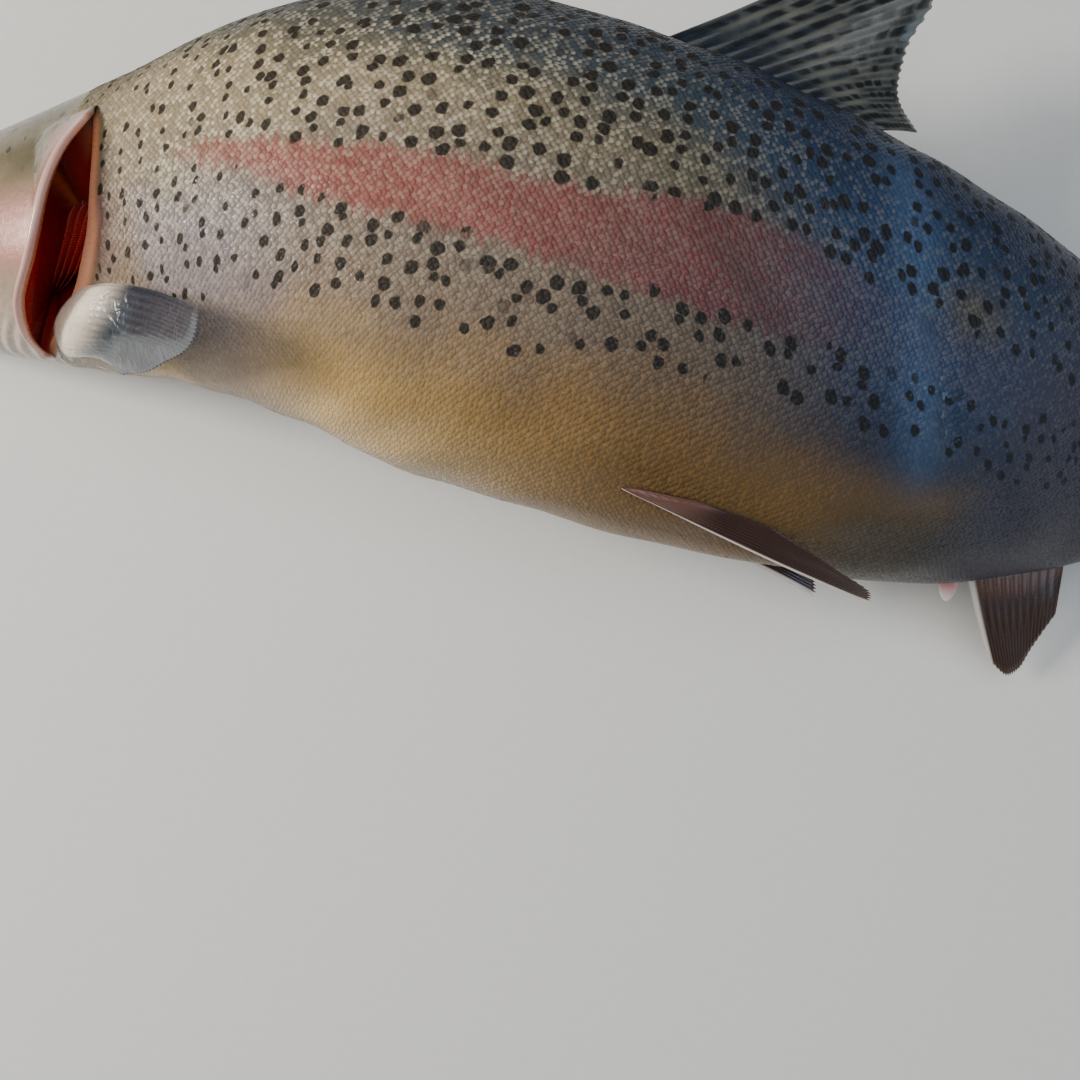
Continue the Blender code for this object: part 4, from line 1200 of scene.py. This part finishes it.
def spots_over(tree, given, place, colour):
    """Dark spots 2 to 3.5 mm across, at most one in a cell of a shaken lattice. The cell's own colour is
    its dice: red says whether it holds a spot and green how large. Whether the stripe and the belly let it
    be is judged at the spot's middle, so that no spot is cut. Returns the colour, and how much of a spot it
    is."""
    along = given["along"]
    cells = add(tree, "ShaderNodeCombineXYZ", {0: along, 1: given["round_back"]})
    per_cell = (LENGTH / SPOT_CELL_ALONG, 1 / SPOT_CELL_UP, 0.0)
    cells = add(tree, "ShaderNodeVectorMath", {0: cells, 1: per_cell}, operation="MULTIPLY")
    wobble = {"Vector": place, "Scale": 420.0, "Detail": 1.0}  # waves of 2.4 mm round a spot's edge
    wobble = add(tree, "ShaderNodeTexNoise", wobble, out="Color")
    wobble = {0: wobble, 1: (EDGE_SHAKE, EDGE_SHAKE, 0.0), 2: cells}
    here = add(tree, "ShaderNodeVectorMath", wobble, operation="MULTIPLY_ADD")
    cell = {"Vector": here, "Scale": 1.0, "Randomness": 0.78}
    cell = add(tree, "ShaderNodeTexVoronoi", cell, out=None, voronoi_dimensions="2D")
    middle = cell.outputs["Position"]
    dice = add(tree, "ShaderNodeSeparateColor", {0: cell.outputs["Color"]}, out=None).outputs
    from_back = []
    for point in (here, middle):
        cells_round = add(tree, "ShaderNodeSeparateXYZ", {0: point}, out="Y")
        from_back.append(add(tree, "ShaderNodeMath", {0: cells_round}, operation="ABSOLUTE"))
    higher = add(tree, "ShaderNodeMath", {0: from_back[0], 1: from_back[1]}, operation="SUBTRACT")
    above_stripe, above_lowest = (
        add(tree, "ShaderNodeMath", {0: higher, 1: SPOT_CELL_UP, 2: given[key]}, operation="MULTIPLY_ADD")
        for key in ("above_stripe", "above_lowest")
    )
    off_middle = add(tree, "ShaderNodeMath", {0: above_stripe}, operation="ABSOLUTE")
    off_stripe = {0: off_middle, 1: given["stripe_half"]}
    off_stripe = add(tree, "ShaderNodeMath", off_stripe, operation="SUBTRACT")
    allowed = share(tree, (off_stripe, -0.0013, 0.0003), (above_lowest, -0.003, 0.002))
    density = {0: given["spot_density"], 1: allowed, 2: given["dash_density"]}
    density = add(tree, "ShaderNodeMath", density, operation="MULTIPLY_ADD")
    chance = add(tree, "ShaderNodeMath", {0: density, 1: dice[0]}, operation="SUBTRACT")
    offset = add(tree, "ShaderNodeVectorMath", {0: here, 1: middle}, operation="SUBTRACT")
    slender = add(tree, "ShaderNodeCombineXYZ", {0: share(tree, (along, 0.20, 0.40, 1.55, 1.0)), 1: 1.0})
    for stretch in ((SPOT_CELL_ALONG / SPOT_HALF_LENGTH, SPOT_CELL_UP / SPOT_HALF_HEIGHT, 0.0), slender):
        offset = add(tree, "ShaderNodeVectorMath", {0: offset, 1: stretch}, operation="MULTIPLY")
    away = add(tree, "ShaderNodeVectorMath", {0: offset}, out="Value", operation="LENGTH")
    small_ends = (along, 0.20, 0.42, 0.74, 1.0), (along, 0.58, 0.74, 1.0, 0.76)
    radius = share(tree, (dice[1], 0.0, 1.0, 0.82, 1.22), *small_ends)
    inside = add(tree, "ShaderNodeMath", {0: radius, 1: away}, operation="SUBTRACT")
    depth = share(tree, (inside, -0.16, 0.16, 0.0, 0.95), (chance, 0.0, 0.12))
    dark = add(tree, "ShaderNodeValToRGB", {"Fac": along}, SPOT)
    return add(tree, "ShaderNodeMix", {0: depth, 6: colour, 7: dark}, out=2, data_type="RGBA"), depth


# %% Scale material
scale_material, tree, shader, given = new_material(
    "wet_fish_scale", *BODY_VALUES, "own", "tip", "flank_of_scale",
)
along, height, stripe, own, tip = (given[key] for key in ("along", "height", "stripe", "own", "tip"))
place = add(tree, "ShaderNodeTexCoord", out="Object")
colour = body_colours(tree, given, place)
# Painted highlights: cream dots on the free ends of a random share of the scales. They are brightest high on
# the front flank and fade towards the tail and the top of the back, where the low light from the left
# catches less.
painted_glint = share(
    tree, (tip, 0.45, 0.9), (given["flank_of_scale"], 0.85, 0.25), (own, 0.20, 1.0, 0.10, 1.0),
    (along, 0.205, 0.275, 0.15, 1.0), (along, 0.25, 0.62, 1.0, 0.12), (height, 0.24, 0.66, 0.16, 1.0),
    (height, 0.74, 0.92, 1.0, 0.22), (stripe, 0.0, 1.0, 1.0, 0.45),
)
for cover, over in (
    (share(tree, stripe, (own, 0.0, 0.45, 0.35, 0.0)), "#7a3a34"),
    (painted_glint, "#f6e4c2"),
    # Painted shade: each scale is darker towards its root, where it lies under the scales ahead of it.
    (share(tree, (tip, 0.75, 0.25), (own, 0.0, 0.8, 0.42, 0.15)), "#3d3425"),
):
    colour = add(tree, "ShaderNodeMix", {0: cover, 6: colour, 7: over}, out=2, data_type="RGBA")
colour, spot = spots_over(tree, given, place, colour)
# The grain of slime is too fine to show, so it is drawn 0.7 mm across.
grain = add(tree, "ShaderNodeTexNoise", {"Vector": place, "Scale": 1500.0, "Detail": 2.0})
rough = {0: spot, 1: 0.30, 2: share(tree, (grain, 0.3, 0.7, 0.32, 0.52))}
feed(tree, shader, {
    "Base Color": colour,
    "Roughness": add(tree, "ShaderNodeMath", rough, operation="MULTIPLY_ADD"),
    "Normal": add(tree, "ShaderNodeBump", {"Strength": 0.25, "Distance": 0.0001, "Height": grain}),
    "IOR": 1.40, "Coat Weight": 0.12, "Coat Roughness": 0.24, "Coat IOR": 1.34,
})
for part in coat:
    part.data.materials.append(scale_material)

# %% Skin material
skin_material, tree, shader, given = new_material(
    "wet_fish_skin", *BODY_VALUES, "inner", "flap", "cuff", "hollow", "painted_glow_through_cover",
)
inner_part, flap_part, cuff_part = given["inner"], given["flap"], given["cuff"]
place = add(tree, "ShaderNodeTexCoord", out="Object")
colour, spot = spots_over(tree, given, place, body_colours(tree, given, place))
# The skin is speckled 1.4 mm across, and the patches that shine are 11 mm.
speckle = {"Vector": place, "Scale": 700.0, "Detail": 4.0, "Roughness": 0.65}
speckle = add(tree, "ShaderNodeTexNoise", speckle)
sheen = {"Vector": place, "Scale": 90.0, "Detail": 5.0, "Roughness": 0.7}
sheen = add(tree, "ShaderNodeTexNoise", sheen)
orange = {0: share(tree, (cuff_part, 0.0, 0.8)), 6: "#ff9a5c", 7: "#ffb488"}
orange = add(tree, "ShaderNodeMix", orange, out=2, data_type="RGBA")
for cover, over in (
    (share(tree, (speckle, 0.42, 0.75, 0.0, 0.35)), "#3b3526"),
    (share(tree, (sheen, 0.50, 0.75, 0.0, 0.08)), "#d0bfae"),
    # Painted shade in the head's hollows: nostrils, the mouth's groove and the rims round the eyes.
    (share(tree, (given["hollow"], 0.0, 1.0, 0.0, 0.80)), "#2a1d17"),
    (share(tree, (flap_part, 0.12, 0.90)), "#a46858"),
    (share(tree, (flap_part, 0.80, 1.0)), "#d2a093"),
    (share(tree, (inner_part, 0.10, 0.30)), "#d87c50"),
    (share(tree, (cuff_part, 0.05, 0.7, 0.0, 0.9)), orange),
    (share(tree, (inner_part, 0.26, 0.62)), "#b4181a"),
    # The lining is red, and its deepest part is a darker red: painted shade deep in the chamber.
    (share(tree, (inner_part, 0.76, 0.98)), "#8a0809"),
    # Painted light shining through the thin gill cover.
    (given["painted_glow_through_cover"], "#f08a2c"),
):
    colour = add(tree, "ShaderNodeMix", {0: cover, 6: colour, 7: over}, out=2, data_type="RGBA")
feed(tree, shader, {
    "Base Color": colour,
    "Roughness": share(tree, (speckle, 0.3, 0.7, 0.22, 0.40)),
    "Normal": add(tree, "ShaderNodeBump", {"Strength": 0.35, "Distance": 0.0002, "Height": speckle}),
    "Metallic": 0.05, "IOR": 1.40, "Coat Weight": 0.6, "Coat Roughness": 0.14, "Coat IOR": 1.36,
})
skin.data.materials.append(skin_material)


# %% [markdown]
# Fin membrane: thin wet skin, darker between the rays than over them, and with a pale edge in some fins.
# Water leaves the left pectoral fin crinkled, with bright ripples.

# %% Fin materials
def fin_material(name, root, web, ray, cloudy, leading=None, dash="#1b1c1c", ripple=0.0):
    """Membrane and rays. The colour goes from the fleshy root to the web, which is cloudy, and then come
    the rays, a pale leading edge and the dashes. ripple is the height of the ripples in metres."""
    made, tree, shader, given = new_material(name, "way_out", "ray", "across", "dash")
    out = given["way_out"]
    place = add(tree, "ShaderNodeTexCoord", out="Object")
    # Clouds of 6 mm, and ripples of 3.3 mm, about the space between two rays. The grain of the membrane is
    # too fine to show, so it is drawn 0.7 mm across.
    cloud = add(tree, "ShaderNodeTexNoise", {"Vector": place, "Scale": 160.0, "Detail": 3.0})
    layers = [
        (share(tree, (out, 0.06, 0.34)), web),
        (share(tree, (cloud, 0.35, 0.8, 0.0, 0.5), (out, 0.1, 0.4)), cloudy),
        (share(tree, given["ray"], (out, 0.1, 0.4, 0.0, 0.75)), ray),
        (share(tree, (out, 0.90, 1.0, 0.0, 0.6)), ray),
    ]
    if leading:
        layers.append((share(tree, (given["across"], 0.085, 0.035)), leading))
    layers.append((given["dash"], dash))
    colour = root
    for cover, over in layers:
        colour = add(tree, "ShaderNodeMix", {0: cover, 6: colour, 7: over}, out=2, data_type="RGBA")
    fine = add(tree, "ShaderNodeTexNoise", {"Vector": place, "Scale": 1400.0, "Detail": 2.0})
    bumps = add(tree, "ShaderNodeBump", {"Strength": 0.3, "Distance": 0.00015, "Height": fine})
    if ripple:
        waves = {"Vector": place, "Scale": 300.0, "Detail": 2.0, "Distortion": 0.6}
        waves = add(tree, "ShaderNodeTexNoise", waves)
        rippled = {"Strength": 1.0, "Distance": ripple, "Height": waves, "Normal": bumps}
        bumps = add(tree, "ShaderNodeBump", rippled)
    feed(tree, shader, {
        "Base Color": colour, "Roughness": share(tree, (cloud, 0.3, 0.7, 0.18, 0.36)), "Normal": bumps,
        "IOR": 1.40, "Coat Weight": 0.75, "Coat Roughness": 0.10, "Coat IOR": 1.36,
    })
    return made


slate_fin = fin_material("slate_fin_membrane", "#f2e2cc", "#2c333b", "#3f464e", "#20272f", ripple=0.00055)
back_fin = fin_material("olive_fin_membrane", "#0a1722", "#171f27", "#5a5b54", "#66665e", dash="#0e1114")
dark_fin = fin_material("tail_fin_membrane", "#2f3946", "#3b434c", "#686c6c", "#262e3a")
belly_fin = fin_material(
    "maroon_fin_membrane", "#64443a", "#2c1a15", "#483028", "#24110f", leading="#e2d4c6",
)
vent_fin = fin_material(
    "orange_brown_fin_membrane", "#5c3824", "#2e1a18", "#54402f", "#180a0d", leading="#d8cabc",
)
for fins, material in (
    ((pectoral_left, pectoral_right), slate_fin),
    ((dorsal_fin,), back_fin),
    ((adipose_fin, tail_fin), dark_fin),
    ((pelvic_left, pelvic_right), belly_fin),
    ((anal_fin,), vent_fin),
):
    for fin in fins:
        fin.data.materials.append(material)

# %% [markdown]
# Gill filaments are full of blood under a very thin wet skin, so they are deep red, paler at the tips of
# the comb, and glossy.

# %% Gill material
gill_material, tree, shader, given = new_material("wet_gill_filament", "hump", "comb")
colour = "#6c0709"
for cover, over in (
    (given["hump"], "#c81e1e"),
    (share(tree, (given["comb"], 0.5, 1.0, 0.0, 0.6)), "#e0685c"),
):
    colour = add(tree, "ShaderNodeMix", {0: cover, 6: colour, 7: over}, out=2, data_type="RGBA")
feed(tree, shader, {
    "Base Color": colour, "Roughness": 0.3, "IOR": 1.40, "Coat Weight": 0.8, "Coat Roughness": 0.08,
})
gills.data.materials.append(gill_material)

# %% [markdown]
# An eye is a clear cornea over a brassy iris and a black pupil, so a sharp clear coat lies over the
# colours. From the middle outwards they are the pupil, a pale ring, the streaked iris and the dark edge of
# the socket.

# %% Eye material
eye_material, tree, shader, given = new_material("wet_fish_eye", "from_pupil", "rise")
from_pupil = given["from_pupil"]
place = add(tree, "ShaderNodeTexCoord", out="Object")
# The streaks of the iris are about a millimetre long.
streaks = add(tree, "ShaderNodeTexNoise", {"Vector": place, "Scale": 900.0, "Detail": 3.0})
brass = {0: share(tree, (streaks, 0.35, 0.7)), 6: "#8a7a4c", 7: "#c9b98a"}
brass = add(tree, "ShaderNodeMix", brass, out=2, data_type="RGBA")
upper = {0: share(tree, (given["rise"], 0.55, 0.85, 0.0, 0.85)), 6: brass, 7: "#35301f"}
brass = add(tree, "ShaderNodeMix", upper, out=2, data_type="RGBA")
ring = {0: share(tree, (from_pupil, 0.40, 0.43)), 6: "#d9c27a", 7: brass}
ring = add(tree, "ShaderNodeMix", ring, out=2, data_type="RGBA")
colour = "#030303"
for cover, over in (
    (share(tree, (from_pupil, 0.37, 0.39)), ring),
    (share(tree, (from_pupil, 0.74, 0.80)), "#15130f"),
):
    colour = add(tree, "ShaderNodeMix", {0: cover, 6: colour, 7: over}, out=2, data_type="RGBA")
feed(tree, shader, {
    "Base Color": colour, "Roughness": 0.25, "IOR": 1.38, "Coat Weight": 1.0, "Coat Roughness": 0.02,
})
for ball in eyes:
    ball.data.materials.append(eye_material)

# %% [markdown]
# The vent is bare wet flesh, pink and paler towards its tip.

# %% Vent material
vent_material, tree, shader, given = new_material("soft_pink_flesh", "way_out")
colour = {0: share(tree, (given["way_out"], 0.3, 0.9)), 6: "#c98a86", 7: "#ead5d2"}
feed(tree, shader, {
    "Base Color": add(tree, "ShaderNodeMix", colour, out=2, data_type="RGBA"),
    "Roughness": 0.3, "IOR": 1.40, "Coat Weight": 0.6, "Coat Roughness": 0.1,
})
vent.data.materials.append(vent_material)

# %% [markdown]
# ## Floor
#
# A plain pale sheet, a third of a millimetre below the fish's resting flats, so that the two never share a
# surface.

# %% Floor
FLOOR_HALF, FLOOR_DROP = 3, 0.0003
corners = [(x * FLOOR_HALF, y * FLOOR_HALF, -FLOOR_DROP) for x, y in ((-1, -1), (1, -1), (1, 1), (-1, 1))]
floor_mesh = bpy.data.meshes.new("floor")
floor_mesh.from_pydata(corners, [], [(0, 1, 2, 3)])
floor = bpy.data.objects.new("floor", floor_mesh)
bpy.context.scene.collection.objects.link(floor)
floor_material, tree, shader, given = new_material("matt_studio_floor")
place = add(tree, "ShaderNodeTexCoord", out="Object")
# Patches of 3.3 mm are a little lighter and darker, as on heavy paper.
paper = add(tree, "ShaderNodeTexNoise", {"Vector": place, "Scale": 300.0})
paper = add(tree, "ShaderNodeMix", {0: paper, 6: "#d6d4cf", 7: "#dcdad6"}, out=2, data_type="RGBA")
feed(tree, shader, {"Base Color": paper, "Roughness": 0.8})
floor_mesh.materials.append(floor_material)
